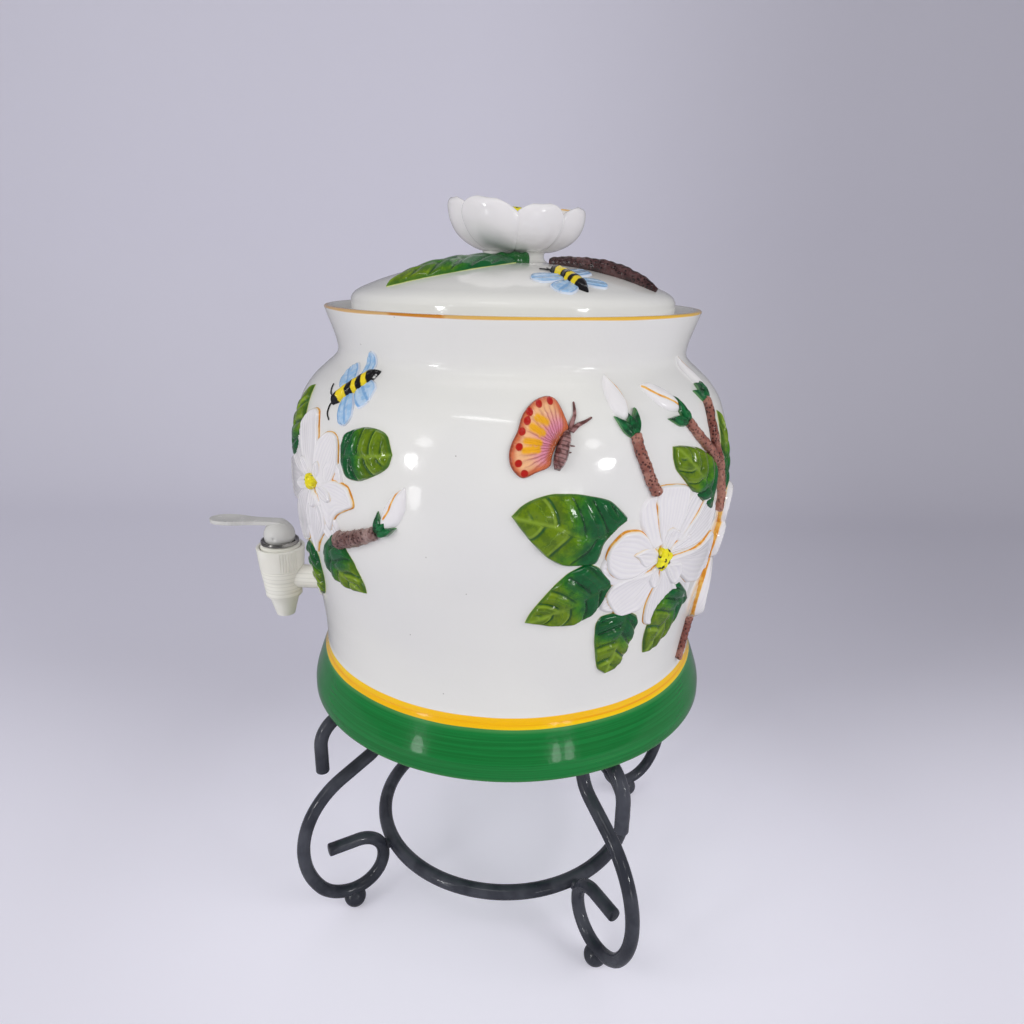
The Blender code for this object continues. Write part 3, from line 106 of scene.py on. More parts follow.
class Paint:
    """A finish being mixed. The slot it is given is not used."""

    def __init__(self, name, slot, **surface):
        self.material = bpy.data.materials.new(name)
        self.material.use_nodes = True
        self.tree = self.material.node_tree
        self.shader = self.tree.nodes["Principled BSDF"]
        for key, value in surface.items():
            self.shader.inputs[key.replace("_", " ")].default_value = value

    def add(self, kind, *inputs, **settings):
        node = self.tree.nodes.new(kind)
        for key, value in settings.items():
            setattr(node, key, value)
        for socket, value in zip(node.inputs, inputs):
            self.feed(socket, value)
        return node

    def feed(self, socket, value):
        if isinstance(value, bpy.types.NodeSocket):
            self.tree.links.new(value, socket)
        elif value is not None:
            socket.default_value = value

    def field(self, name):
        """A number stored on the clay's points."""
        return self.add("ShaderNodeAttribute", attribute_name=name).outputs["Fac"]

    def place(self, stretch=(1, 1, 1)):
        """The place in metres, stretched for patterns that run one way."""
        spot = self.add("ShaderNodeTexCoord").outputs["Object"]
        return self.add("ShaderNodeVectorMath", spot, stretch, operation="MULTIPLY").outputs[0]

    def axis(self, letter):
        """The place along one axis, in metres."""
        spot = self.add("ShaderNodeTexCoord").outputs["Object"]
        return self.add("ShaderNodeSeparateXYZ", spot).outputs[letter]

    def band(self, value, low, high, soft):
        """One between two edges and nothing outside them."""
        return self.times(self.ramp(value, low - soft, low + soft), self.ramp(value, high + soft, high - soft))

    def noise(self, scale, stretch=(1, 1, 1), detail=2.0, rough=0.5):
        node = self.add("ShaderNodeTexNoise")
        self.feed(node.inputs["Vector"], self.place(stretch))
        self.feed(node.inputs["Scale"], scale)
        self.feed(node.inputs["Detail"], detail)
        self.feed(node.inputs["Roughness"], rough)
        return node.outputs[0]

    def cells(self, scale, stretch=(1, 1, 1)):
        """The distance to the nearest of many scattered dots."""
        node = self.add("ShaderNodeTexVoronoi")
        self.feed(node.inputs["Vector"], self.place(stretch))
        self.feed(node.inputs["Scale"], scale)
        return node.outputs["Distance"]

    def sum(self, *terms):
        total = terms[0]
        for term in terms[1:]:
            total = self.add("ShaderNodeMath", total, term, operation="ADD").outputs[0]
        return total

    def times(self, *terms):
        total = terms[0]
        for term in terms[1:]:
            total = self.add("ShaderNodeMath", total, term, operation="MULTIPLY").outputs[0]
        return total

    def size(self, value):
        return self.add("ShaderNodeMath", value, operation="ABSOLUTE").outputs[0]

    def wave(self, value):
        return self.add("ShaderNodeMath", value, operation="SINE").outputs[0]

    def ramp(self, value, low, high, start=0.0, end=1.0):
        """Goes smoothly from start to end as the value goes from low to high."""
        node = self.add("ShaderNodeMapRange", value, low, high, start, end, interpolation_type="SMOOTHSTEP")
        return node.outputs[0]

    def mix(self, share, first, second):
        node = self.add("ShaderNodeMix", data_type="RGBA")
        self.feed(node.inputs[0], share)
        self.feed(node.inputs[6], first)
        self.feed(node.inputs[7], second)
        return node.outputs[2]

    def bump(self, height, depth, strength=1.0, before=None):
        """Relief of so many metres, laid over an earlier one."""
        node = self.add("ShaderNodeBump")
        self.feed(node.inputs["Strength"], strength)
        self.feed(node.inputs["Distance"], depth)
        self.feed(node.inputs["Height"], height)
        self.feed(node.inputs["Normal"], before)
        return node.outputs[0]

    def use(self, colour=None, rough=None, normal=None):
        self.feed(self.shader.inputs["Base Color"], colour)
        self.feed(self.shader.inputs["Roughness"], rough)
        self.feed(self.shader.inputs["Normal"], normal)
        return self.material


GLASS = 1.5


def glaze(name, slot, coat, coat_rough):
    """A glassy finish under a clear coat."""
    return Paint(name, slot, IOR=GLASS, Coat_Weight=coat, Coat_Roughness=coat_rough)

# %% [markdown]
# The white glaze is thick and glassy over a cast body. Its colour drifts a little, and its surface
# waves gently, which is what bends the lamps' reflections. The green skirt and the yellow band are
# brushed on while the pot turns, so their streaks run round it. They are placed by height.

# %% The glazed body's finish
GLAZE_WHITE = srgb(236, 235, 230)
GLAZE_SHADE = srgb(230, 229, 227)
SKIRT_GREEN = srgb(14, 124, 56)
SKIRT_DARK = srgb(5, 108, 46)
SKIRT_PALE = srgb(96, 162, 92)
BAND_YELLOW = srgb(255, 208, 6)
BAND_OCHRE = srgb(254, 192, 0)
BAND_CORE = srgb(238, 142, 0)
RIM_YELLOW = srgb(240, 188, 66)
RIM_TAN = srgb(216, 172, 112)
RIM_OCHRE = srgb(204, 130, 36)
SPECK_BROWN = srgb(120, 110, 105)
SKIRT_FOOT = 0.1570
SKIRT_TOP = 0.1848
CORE_LOW = 0.1878
CORE_HIGH = 0.1886
BAND_TOP = 0.1912
RIM_LINE = 0.3952
RIM_OCHRE_FROM = -0.041
RIM_OCHRE_TO = -0.005


def glaze_relief(paint, wave=0.0009, peel=0.00004):
    """Slow waves and a faint orange peel, as thick glaze has."""
    slow = paint.bump(paint.noise(16, detail=1.0), wave)
    return paint.bump(paint.noise(420, detail=1.0), peel, before=slow)


def white_ground(paint):
    """White that drifts a little, with a brown speck here and there."""
    white = paint.mix(paint.ramp(paint.noise(9), 0.35, 0.7), GLAZE_WHITE, GLAZE_SHADE)
    specks = paint.ramp(paint.cells(75), 0.035, 0.02)
    return paint.mix(paint.times(specks, 0.55), white, SPECK_BROWN)


def skirt_green(paint, level, streaks):
    """Streaky green, worn pale on its streaks and along both borders."""
    green = paint.mix(paint.ramp(streaks, 0.38, 0.62), SKIRT_DARK, SKIRT_GREEN)
    for worn in (
        paint.ramp(streaks, 0.62, 0.8, 0, 0.55),
        paint.ramp(level, SKIRT_TOP - 0.0026, SKIRT_TOP - 0.0003, 0, 0.5),
        paint.ramp(level, SKIRT_FOOT + 0.0025, SKIRT_FOOT, 0, 0.4),
    ):
        green = paint.mix(worn, green, SKIRT_PALE)
    return green


def band_yellow(paint, level, streaks):
    """Yellow with a broken orange line where the brush pressed hardest."""
    load = paint.noise(5, (1, 1, 60), 3.0)
    yellow = paint.mix(paint.ramp(load, 0.4, 0.6), BAND_OCHRE, BAND_YELLOW)
    core = paint.band(paint.sum(level, paint.times(load, 0.0016)), CORE_LOW, CORE_HIGH, 0.0004)
    return paint.mix(paint.times(core, paint.ramp(streaks, 0.35, 0.6)), yellow, BAND_CORE)


def rim_gold(paint, wander):
    """The rim's line is tan on the left of the view and yellow on the right, with an ochre stretch left of the
    middle.
    """
    across = paint.sum(paint.axis("Y"), paint.times(wander, 0.03))
    gold = paint.mix(paint.ramp(across, -0.02, 0.05), RIM_TAN, RIM_YELLOW)
    return paint.mix(paint.band(across, RIM_OCHRE_FROM, RIM_OCHRE_TO, 0.002), gold, RIM_OCHRE)


def body_glaze():
    paint = glaze("glazed_white", "white_glaze", 0.5, 0.03)
    rise = paint.axis("Z")
    wander = paint.noise(26, detail=1.0)
    level = paint.sum(rise, paint.times(wander, 0.0012), -0.0006)
    streaks = paint.noise(6, (1, 1, 130), 5.0, 0.75)
    colour = paint.mix(
        paint.ramp(level, SKIRT_TOP - 0.0001, SKIRT_TOP + 0.0003),
        skirt_green(paint, level, streaks), band_yellow(paint, level, streaks),
    )
    colour = paint.mix(paint.ramp(level, BAND_TOP - 0.0003, BAND_TOP + 0.0002), colour, white_ground(paint))
    line = paint.ramp(paint.sum(rise, paint.times(wander, 0.0010)), RIM_LINE + 0.0001, RIM_LINE + 0.0007)
    colour = paint.mix(paint.times(line, paint.field("rim")), colour, rim_gold(paint, wander))
    painted = paint.ramp(level, BAND_TOP, SKIRT_TOP - 0.001, 0, 1.0)
    brushed = paint.bump(streaks, 0.00003, painted, glaze_relief(paint))
    return paint.use(colour, paint.ramp(paint.noise(30), 0.3, 0.7, 0.09, 0.17), brushed)


WHITE_GLAZE = body_glaze()
print("finish", WHITE_GLAZE.name, "nodes", len(WHITE_GLAZE.node_tree.nodes))

# %% [markdown]
# Clay is gathered here: a list of points in millimetres with its faces, and with numbers stored
# on the points, such as how far a point lies from its leaf's edge. The painter's lines are drawn
# from those numbers, so they stay crisp on a fairly coarse mesh and follow each shape exactly.

# %% A helper that turns clay into a piece
class Clay:
    """Points, faces and fields that become one mesh."""

    def __init__(self):
        self.points = []
        self.faces = []
        self.fields = []
        self.count = 0

    def add(self, points, faces, **fields):
        points = np.asarray(points, float).reshape(-1, 3)
        self.points.append(points)
        self.faces += [tuple(k + self.count for k in face) for face in faces]
        self.fields.append((len(points), {key: np.ravel(value) for key, value in fields.items()}))
        self.count += len(points)

    def piece(self, name, finish, body, stands_for=(), crease=50):
        mesh = bpy.data.meshes.new(name)
        mesh.from_pydata((np.concatenate(self.points) * MM).tolist(), [], self.faces)
        mesh.validate()
        mesh.shade_smooth()
        mesh.set_sharp_from_angle(angle=math.radians(crease))
        for key in sorted({key for _, made in self.fields for key in made}):
            layer = mesh.attributes.new(key, "FLOAT", "POINT")
            values = [made.get(key, np.zeros(size)) for size, made in self.fields]
            layer.data.foreach_set("value", np.concatenate(values).astype(np.float32))
        mesh.materials.append(finish)
        thing = bpy.data.objects.new(name, mesh)
        bpy.context.collection.objects.link(thing)
        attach(thing, body)
        if stands_for:
            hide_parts(*stands_for)
        print(name, "faces", len(self.faces))
        return thing

# %% [markdown]
# Most sections of the pot are smooth lines through a few measured points. The reader below goes
# through every point and never swings past them, so a rim stays as sharp as it was measured.

# %% Smooth lines and turned shapes
def smooth_reader(places, values):
    """A curve through the values that never overshoots them."""
    x = np.asarray(places, float)
    y = np.asarray(values, float)
    gap = np.diff(x)
    slope = np.diff(y) / gap
    lean = np.zeros_like(x)
    lean[0] = slope[0]
    lean[-1] = slope[-1]
    for k in range(1, len(x) - 1):
        if slope[k - 1] * slope[k] > 0:
            a = 2 * gap[k] + gap[k - 1]
            b = gap[k] + 2 * gap[k - 1]
            lean[k] = (a + b) / (a / slope[k - 1] + b / slope[k])

    def read(at):
        k = np.clip(np.searchsorted(x, at) - 1, 0, len(gap) - 1)
        t = np.clip((at - x[k]) / gap[k], 0, 1)
        start = lean[k] * gap[k]
        end = lean[k + 1] * gap[k]
        rise = y[k + 1] - y[k]
        return y[k] + t * (start + t * (3 * rise - 2 * start - end + t * (start + end - 2 * rise)))

    return read


def turn(profile, steps=224, axis=(0, 0)):
    """A profile of (radius, height) turned about an upright axis. It starts and ends on the axis."""
    turns = np.arange(steps) * math.tau / steps
    points = []
    rows = []
    for radius, height in profile:
        if radius == 0:
            rows.append([len(points)] * steps)
            points.append((axis[0], axis[1], height))
            continue
        rows.append(list(range(len(points), len(points) + steps)))
        points += [(axis[0] + radius * math.cos(t), axis[1] + radius * math.sin(t), height) for t in turns]
    faces = []
    for low, high in zip(rows, rows[1:]):
        for k in range(steps):
            n = (k + 1) % steps
            face = (low[k], low[n], high[n], high[k])
            faces.append(tuple(dict.fromkeys(face)))
    return np.array(points), faces

# %% [markdown]
# The crock is slip-cast: round, with a full belly, a pinched neck that flares to the rim, a shelf
# inside for the lid and a skirt at its foot. A lathe fits it best: one smooth line turned about the
# axis. The same line then tells where the wall is, so that every sprig can be laid on it.

# %% The crock
WALL_HEIGHTS = (
    156.7, 162, 166, 171, 177, 184, 188.5, 194, 204, 219, 239, 259, 279, 299, 317, 333, 346, 356, 363.4, 367.6,
    370.6, 373, 377, 382, 388.5, 395.4,
)
WALL_RADII = (
    128.7, 128.6, 127.9, 126.3, 124.2, 121.6, 120.1, 119.3, 119.6, 121, 124.2, 127.6, 130.9, 132.4, 131.4, 129,
    124.9, 118.2, 110.2, 105.4, 103.3, 102.9, 103.5, 104.9, 107.1, 109.5,
)
WALL_THICK = 6.5
RIM_LINE_INSIDE = 107.4
wall_radius = smooth_reader(WALL_HEIGHTS, WALL_RADII)


def crock_profile():
    foot = [(0, 165.7), (97, 165.7), (104.5, 158.6), (106.8, 157.1), (108.5, 156.7)]
    foot += [(126.8, 156.7), (128.2, 157.2)]
    rises = np.linspace(158.2, 395.2, 200)
    wall = list(zip(wall_radius(rises), rises))
    lip = [(109.5, 395.9), (109.0, 396.4), (108.1, 396.6), (106.6, 396.6), (105.5, 396.2), (104.8, 395.2)]
    shelf = [(104.0, 393.4), (102.6, 391.2), (101.4, 390.4), (88.6, 390.3), (88.0, 389.7)]
    shelf += [(88.2, 386.4), (90, 385.4)]
    drops = np.linspace(374, 184, 110)
    inside = [(94.6, 380)] + list(zip(wall_radius(drops) - WALL_THICK, drops))
    floor = [(113.6, 180.6), (110.8, 177), (106, 174.4), (99, 173.7), (0, 173.7)]
    return foot + wall + lip + shelf + inside + floor


crock = Clay()
points, faces = turn(crock_profile(), 256)
on_rim = np.hypot(points[:, 0], points[:, 1]) > RIM_LINE_INSIDE
crock.add(points, faces, rim=on_rim.astype(float))
crock.piece("crock_glazed", WHITE_GLAZE, "pot", ("crock",), crease=40)

# %% [markdown]
# A sprig is pressed in a mould and laid on the wall. To model one, I unroll the wall into a flat
# sheet, draw the sprig there from its base to its tip with its half widths on both sides, and lift
# it by a height that is a sum of plain shapes: a rolled edge, a crown, ribs, grooves. A last step
# bends the sheet back round the pot.

# %% Sprigs on the wall
ROUND = 130.0
SHARES = (0, 0.08, 0.2, 0.35, 0.5, 0.65, 0.8, 0.92, 1)
AT_RIM = 0.02
SUNK = -0.4
UNDER = -1.2
LOBE_AT = 0.33


def on_wall(x, y, lift):
    """From the unrolled sheet to the pot: x is the way round, y the height, lift the way out."""
    lean = np.arctan((wall_radius(y - 1) - wall_radius(y + 1)) / 2)
    radius = wall_radius(y) + lift * np.cos(lean)
    return np.stack([radius * np.cos(x / ROUND), radius * np.sin(x / ROUND), y + lift * np.sin(lean)], -1)


def spot(azimuth, height):
    return np.array([math.radians(azimuth) * ROUND, height])


def soft(value, low, high):
    t = np.clip((value - low) / (high - low), 0, 1)
    return t * t * (3 - 2 * t)


def hump(value, width):
    return np.exp(-((value / width) ** 2))


def from_line(x, y, line, closed=False):
    """The distance of points from a line of places on the sheet."""
    line = np.asarray(line, float)
    ends = np.roll(line, -1, axis=0) if closed else line[1:]
    starts = line if closed else line[:-1]
    best = np.full(x.shape, 1e9)
    for (ax, ay), (bx, by) in zip(starts, ends):
        run = (bx - ax) ** 2 + (by - ay) ** 2 + 1e-9
        t = np.clip(((x - ax) * (bx - ax) + (y - ay) * (by - ay)) / run, 0, 1)
        best = np.minimum(best, np.hypot(x - ax - t * (bx - ax), y - ay - t * (by - ay)))
    return best

# %% [markdown]
# A sprig starts as a flat grid on that sheet. Rows run from its base to its tip and columns from
# side to side, closer together at the edges, where the clay rounds off. Each point knows how far
# it lies from the edge and from the midrib, because relief and paint both follow those distances.

# %% A flat sprig
class Sheet:
    """A flat sprig as a grid: s runs from base to tip, u from side to side, -1 to 1."""

    def __init__(self, base, tip, left, right, rib=0, blunt=None, rows=60, columns=28, lobe=0.0):
        base = np.array(base, float)
        way = np.array(tip, float) - base
        self.length = float(np.hypot(*way))
        way = way / self.length
        t = np.linspace(0, 1, rows + 1)
        s = 0.45 * t + 0.55 * (1 - np.cos(math.pi * t)) / 2
        u = np.sin(np.linspace(-1, 1, columns + 1) * math.pi / 2)
        places = SHARES if len(np.ravel(left)) == len(SHARES) else np.linspace(0, 1, len(left))
        wide_left = smooth_reader(places, left)(s)
        wide_right = smooth_reader(places, right)(s)
        bend = smooth_reader(SHARES, rib)(s) if np.ndim(rib) else rib * np.sin(math.pi * s)
        if blunt is not None:
            shut = (1 - np.clip((s - blunt) / (1 - blunt), 0, 1) ** 2.2) ** (1 / 2.2)
            wide_left = wide_left * shut
            wide_right = wide_right * shut
        self.s, self.u = np.meshgrid(s, u, indexing="ij")
        reach = self.u * np.where(self.u > 0, (wide_left - bend)[:, None], (wide_right + bend)[:, None])
        off = bend[:, None] + reach
        run = self.length * (self.s - lobe * hump(self.s - LOBE_AT, 0.1) * np.clip(self.u, 0, 1) ** 2)
        self.x = base[0] + way[0] * run - way[1] * off
        self.y = base[1] + way[1] * run + way[0] * off
        self.rib = reach
        rim = np.concatenate([
            np.stack([self.x[:, 0], self.y[:, 0]], -1),
            np.stack([self.x[::-1, -1], self.y[::-1, -1]], -1),
        ])
        self.edge = from_line(self.x, self.y, rim, closed=True)

    def roll(self, thick, reach):
        """A rolled edge that rises to its full thickness within a reach, steep first."""
        t = np.clip(self.edge / reach, 0, 1)
        return thick * (1 - (1 - t) ** 2.4)

    def crown(self, height):
        """A gentle dome, highest far from the edge."""
        t = self.edge / max(float(self.edge.max()), 0.1)
        return height * (1 - (1 - t) ** 2)

    def tucked(self, height):
        """The height with the rim sunk a little into the wall."""
        return np.where(self.edge < AT_RIM, SUNK, height)

# %% [markdown]
# A raised face alone would look like paper at its edge. So the grid is doubled: the second one
# lies under the wall's surface, and a strip of faces round the border joins the two.

# %% From sheet to slab
def slab_faces(rows, columns):
    """Faces of a grid of points, of the same grid behind it, and of the edge between the two."""
    at = np.arange(rows * columns).reshape(rows, columns)
    quads = np.stack([at[:-1, :-1], at[:-1, 1:], at[1:, 1:], at[1:, :-1]], -1).reshape(-1, 4)
    rim = np.concatenate([at[0, :], at[1:, -1], at[-1, -2::-1], at[-2:0:-1, 0]])
    after = np.roll(rim, -1)
    edge = np.stack([rim, rim + at.size, after + at.size, after], -1)
    return np.concatenate([quads, quads[:, ::-1] + at.size, edge]).tolist()


def slab(clay, sheet, height, skin=on_wall, **fields):
    """Closes the sheet into a solid: its raised face, a hidden back and the edge between."""
    top = skin(sheet.x, sheet.y, height)
    low = skin(sheet.x, sheet.y, np.full_like(height, UNDER))
    doubled = {key: np.concatenate([np.ravel(value), np.ravel(value)]) for key, value in fields.items()}
    if "edge" in doubled:
        doubled["edge"][height.size:] += np.ravel(height - UNDER)
    clay.add(np.concatenate([top.reshape(-1, 3), low.reshape(-1, 3)]), slab_faces(*height.shape), **doubled)

# %% [markdown]
# Leaf glaze is brushed in two greens while wet: dark bluish green at the base, olive yellow at the tip,
# and they bleed into each other. Each pressed vein is painted darker, partly glaze that gathers there
# and partly painted shade, and a pale lip along one side of it is a painted highlight. The glaze thins
# on the midrib and at the edge, where the white shows through as a pale line.

# %% The leaves' finish
LEAF_DEEP = srgb(8, 92, 46)
LEAF_DARKEST = srgb(2, 58, 28)
LEAF_MIDDLE = srgb(64, 128, 14)
LEAF_OLIVE = srgb(104, 132, 0)
LEAF_RIB_AND_HIGHLIGHT = srgb(144, 174, 54)
LEAF_EDGE = srgb(214, 220, 140)


def leaf_glaze():
    paint = glaze("leaf_greens", "leaf_glaze", 0.6, 0.03)
    along = paint.field("along")
    bleed = paint.noise(55, detail=3.0)
    brush = paint.noise(160, (0.25, 1, 1), 4.0, 0.7)
    share = paint.sum(along, paint.times(bleed, 0.5), paint.times(brush, 0.16), -0.33)
    colour = paint.mix(paint.ramp(share, 0.3, 0.5), LEAF_DEEP, LEAF_MIDDLE)
    colour = paint.mix(paint.ramp(share, 0.4, 0.62), colour, LEAF_OLIVE)
    colour = paint.mix(paint.ramp(brush, 0.58, 0.4, 0, 0.4), colour, LEAF_DARKEST)
    light = paint.ramp(share, 0.4, 0.75, 0.04, 0.62)
    veined = paint.field("veined")
    vein = paint.field("vein")
    # Darker in each vein's groove: partly glaze that pools there, partly painted shade.
    groove = paint.ramp(paint.size(vein), 1.0, 0.2)
    colour = paint.mix(paint.times(groove, veined, 0.75), colour, paint.mix(light, LEAF_DARKEST, LEAF_DEEP))
    # Pale along one side of each groove: a painted highlight.
    lip = paint.ramp(paint.size(paint.sum(vein, -1.6)), 1.1, 0.2)
    colour = paint.mix(paint.times(lip, veined, light), colour, LEAF_RIB_AND_HIGHLIGHT)
    rib = paint.ramp(paint.sum(paint.size(paint.field("rib")), paint.times(brush, 1.2)), 2.4, 0.5)
    colour = paint.mix(paint.times(rib, light), colour, LEAF_RIB_AND_HIGHLIGHT)
    edge = paint.sum(paint.field("edge"), paint.times(bleed, 0.3))
    colour = paint.mix(paint.ramp(edge, 1.5, 0.5, 0, 0.45), colour, LEAF_DEEP)
    colour = paint.mix(paint.ramp(edge, 0.34, 0.16, 0, 0.85), colour, LEAF_EDGE)
    rough = paint.ramp(brush, 0.3, 0.7, 0.07, 0.16)
    relief = paint.bump(brush, 0.00022, before=paint.bump(bleed, 0.0005))
    return paint.use(colour, rough, relief)


LEAF_GLAZE = leaf_glaze()

# %% [markdown]
# Each leaf has its own outline, which I read off: its base, its tip, half widths at nine
# places on either side, and how far the midrib bends there. The side veins start at the midrib and
# lean towards the tip. Each is pressed in as a groove with a small lip beside it, deep enough to
# catch a highlight. The great leaf also has a lobe on its left that is drawn back to the base.

# %% Leaves on the wall
VEIN_LEAN = 0.17
VEINED_SHARE = 0.82
VEIN_REACH = 4


def leaf(
    clay, base, tip, left, right, rib=0, veins=4.5, lobe=0.0, thick=1.7, crown=1.8, skin=on_wall, ripe=1.0,
):
    sheet = Sheet(base, tip, left, right, rib, rows=84, columns=36, lobe=lobe)
    out = np.abs(sheet.u)
    pitch = VEINED_SHARE / veins
    phase = (sheet.s - VEIN_LEAN * out**1.4 - 0.1) / pitch + np.where(sheet.u > 0, 0.0, 0.45)
    phase = phase + 0.16 * np.sin(5 * sheet.s + 2 * sheet.u + sheet.length)
    vein = (phase - np.round(phase)) * pitch * sheet.length
    veined = soft(out, 0.02, 0.12) * soft(1 - out, 0.02, 0.14)
    veined = veined * soft(sheet.s, 0.05, 0.16) * soft(1 - sheet.s, 0.1, 0.2)
    groove = -0.5 * np.cos(math.tau * phase) - 0.7 * hump(vein, 0.8) + 0.4 * hump(vein - 1.7, 0.9)
    ribbed = soft(1 - sheet.s, 0.02, 0.25) * soft(sheet.edge, 0.8, 2.4)
    midrib = 0.3 * hump(sheet.rib, 0.9) - 0.7 * hump(sheet.rib, 2.6)
    height = sheet.roll(thick, 2.2) + sheet.crown(crown) + veined * groove + ribbed * midrib
    slab(
        clay, sheet, sheet.tucked(height), skin, along=ripe * sheet.s, edge=sheet.edge,
        vein=np.clip(vein, -VEIN_REACH, VEIN_REACH), veined=veined, rib=sheet.rib,
    )


LEAVES = {
    "leaf_great": (
        (30.4, 304), (5.3, 308.4),
        (1.2, 4.6, 11.5, 23.4, 24, 20.4, 13, 5.6, 0), (0.8, 5, 9.6, 11.4, 12.4, 12.2, 9.8, 5.6, 0),
        (0, 3.5, 7.8, 8.8, 6, 3, 1.6, 0.6, 0), 4.2, 0.09,
    ),
    "leaf_second": (
        (28.1, 270.2), (8.7, 250.7),
        (1.7, 4.5, 10.4, 13.2, 13.4, 11, 6.6, 2.8, 0), (2, 13, 17.6, 17.4, 15.2, 11.6, 7.4, 3.6, 0),
        (0, 0, -0.5, 0, 0.6, 0, 0, 0, 0), 4.0,
    ),
    "leaf_third": (
        (33.6, 250.4), (30.3, 212.7),
        (3, 10, 11.8, 11.8, 11.6, 11, 9.4, 6.6, 0), (6, 15, 16.4, 15, 13.2, 10.6, 8, 5.4, 0),
        (0, 0, 0, 0, 0.4, 0.4, 0, 0, 0), 3.6,
    ),
    "leaf_small": (
        (57.5, 246), (42.6, 218.5),
        (5, 3.6, 2.4, 5, 7, 6.6, 5.4, 3.6, 0), (5, 18, 20.6, 22, 22, 19, 13.6, 7.2, 0),
        (0, -4, -6.6, -7, -6.6, -5, -3, -1.2, 0), 3.8,
    ),
    "leaf_upper": (
        (59.7, 296), (43.3, 335.6),
        (0.5, 2.2, 3.4, 5, 6.2, 6.6, 7, 4.4, 0), (0.5, 8, 17, 19.4, 17.2, 14.2, 9, 4.2, 0),
        (0, -2, -3.4, -3.4, -2.8, -2.2, -1.6, -0.8, 0), 4.6,
    ),
    "leaf_edge": (
        (68, 298), (68.5, 346),
        (1, 2, 3, 3.6, 3.6, 3, 2.4, 1.4, 0), (2, 5, 7, 7.6, 7.4, 6, 4.4, 2.4, 0), 0, 4.4,
    ),
    "leaf_round": (
        (-35.3, 328), (-20.6, 332.6),
        (5, 10.4, 12, 13, 13.4, 12.8, 11.4, 8.6, 0), (4, 10, 12.3, 12.6, 11.6, 10, 8, 5.4, 0), -0.6, 3.4,
    ),
    "leaf_shoulder": (
        (-61, 316), (-59.4, 355.5),
        (1, 3, 5, 6.4, 7, 6.4, 5, 2.6, 0), (2, 6, 9, 10.6, 11, 10.4, 8, 4, 0), 0, 3.8,
    ),
    "leaf_hanging": (
        (-40.8, 282.2), (-30.6, 254.6),
        (2.5, 5.8, 8.2, 7.2, 7, 5.6, 4, 2.2, 0), (9, 17.4, 20.4, 21.4, 20, 16, 10.6, 4.6, 0),
        (0, -4, -6.4, -7.6, -6.8, -5, -3, -1.2, 0), 3.4,
    ),
    "leaf_narrow": (
        (-55.5, 268), (-55.4, 234.5),
        (4, 9, 10.5, 10, 10, 9, 6.6, 3.6, 0), (4, 8, 10, 10.6, 10.4, 9, 6.6, 4, 0), 0, 3.6,
    ),
    "leaf_back_low": (
        (106, 245.4), (116, 214.3),
        (2, 7, 10.4, 11.6, 11, 9, 6, 3, 0), (2, 7, 10.4, 11.6, 11, 9, 6, 3, 0), 0.8, 3.8,
    ),
    "leaf_back_high": (
        (108, 288.7), (124, 315.1),
        (2, 8, 12, 13, 12.4, 10, 7, 3.4, 0), (2, 8, 12, 13.6, 13, 10.6, 7, 3.4, 0), -1.0, 4.0,
    ),
}

for name, (base, tip, *shape) in LEAVES.items():
    clay = Clay()
    leaf(clay, spot(*base), spot(*tip), *shape)
    clay.piece(name + "_sprig", LEAF_GLAZE, "pot", (name,))

# %% [markdown]
# Petals are white with a gold-orange line brushed along each edge, thick in one place and nearly
# gone in the next. Fine grooves run from the heart to the rim, and their troughs are tinted lilac grey
# as painted shade. A second layer of petals behind is left unpainted, so a number on the clay says
# where the gold brush went.

# %% The petals' finish
PETAL_WHITE = srgb(238, 235, 236)
PETAL_SHADE = srgb(220, 216, 226)
GOLD_LINE = srgb(246, 190, 96)
GOLD_DEEP = srgb(228, 148, 46)
GOLD_HALO = srgb(248, 222, 178)


def petal_glaze():
    paint = glaze("petal_white", "petal_glaze", 0.5, 0.04)
    edge = paint.field("edge")
    gold = paint.field("gold")
    heavy = paint.noise(48, detail=2.0)
    wander = paint.noise(220, detail=2.0)
    width = paint.ramp(heavy, 0.4, 0.7, 0.22, 0.62)
    near = paint.sum(edge, paint.times(wander, 0.4), -0.3)
    over = paint.add("ShaderNodeMath", near, width, operation="DIVIDE").outputs[0]
    # Lilac grey in the grooves' troughs: painted shade.
    white = paint.mix(paint.ramp(paint.field("groove"), 0.2, -0.9, 0, 0.3), PETAL_WHITE, PETAL_SHADE)
    halo = paint.times(paint.ramp(over, 2.4, 0.9, 0, 0.7), gold)
    colour = paint.mix(halo, white, GOLD_HALO)
    ink = paint.mix(paint.ramp(wander, 0.4, 0.62), GOLD_DEEP, GOLD_LINE)
    colour = paint.mix(paint.times(paint.ramp(over, 1.1, 0.8), gold), colour, ink)
    stroke = paint.field("stroke")
    line = paint.ramp(paint.sum(stroke, paint.times(wander, 0.5)), 1.0, 0.55)
    colour = paint.mix(paint.times(line, paint.field("lined")), colour, ink)
    rough = paint.ramp(paint.noise(60), 0.3, 0.7, 0.1, 0.2)
    return paint.use(colour, rough, glaze_relief(paint, 0.0004, 0.00005))


PETAL_GLAZE = petal_glaze()

# %% [markdown]
# The heart is a raised knot of stamens, brushed bright yellow and dotted with black.

# %% The hearts' finish
def heart_glaze():
    paint = glaze("heart_yellow", "petal_glaze", 0.4, 0.05)
    drift = paint.noise(240, detail=2.0)
    colour = paint.mix(paint.ramp(drift, 0.35, 0.65), srgb(240, 222, 10), srgb(252, 246, 50))
    dots = paint.ramp(paint.cells(360, (1, 1, 0.6)), 0.42, 0.3)
    colour = paint.mix(paint.times(dots, paint.ramp(drift, 0.4, 0.5)), colour, srgb(44, 38, 10))
    return paint.use(colour, 0.2, paint.bump(drift, 0.0006))


HEART_YELLOW = heart_glaze()

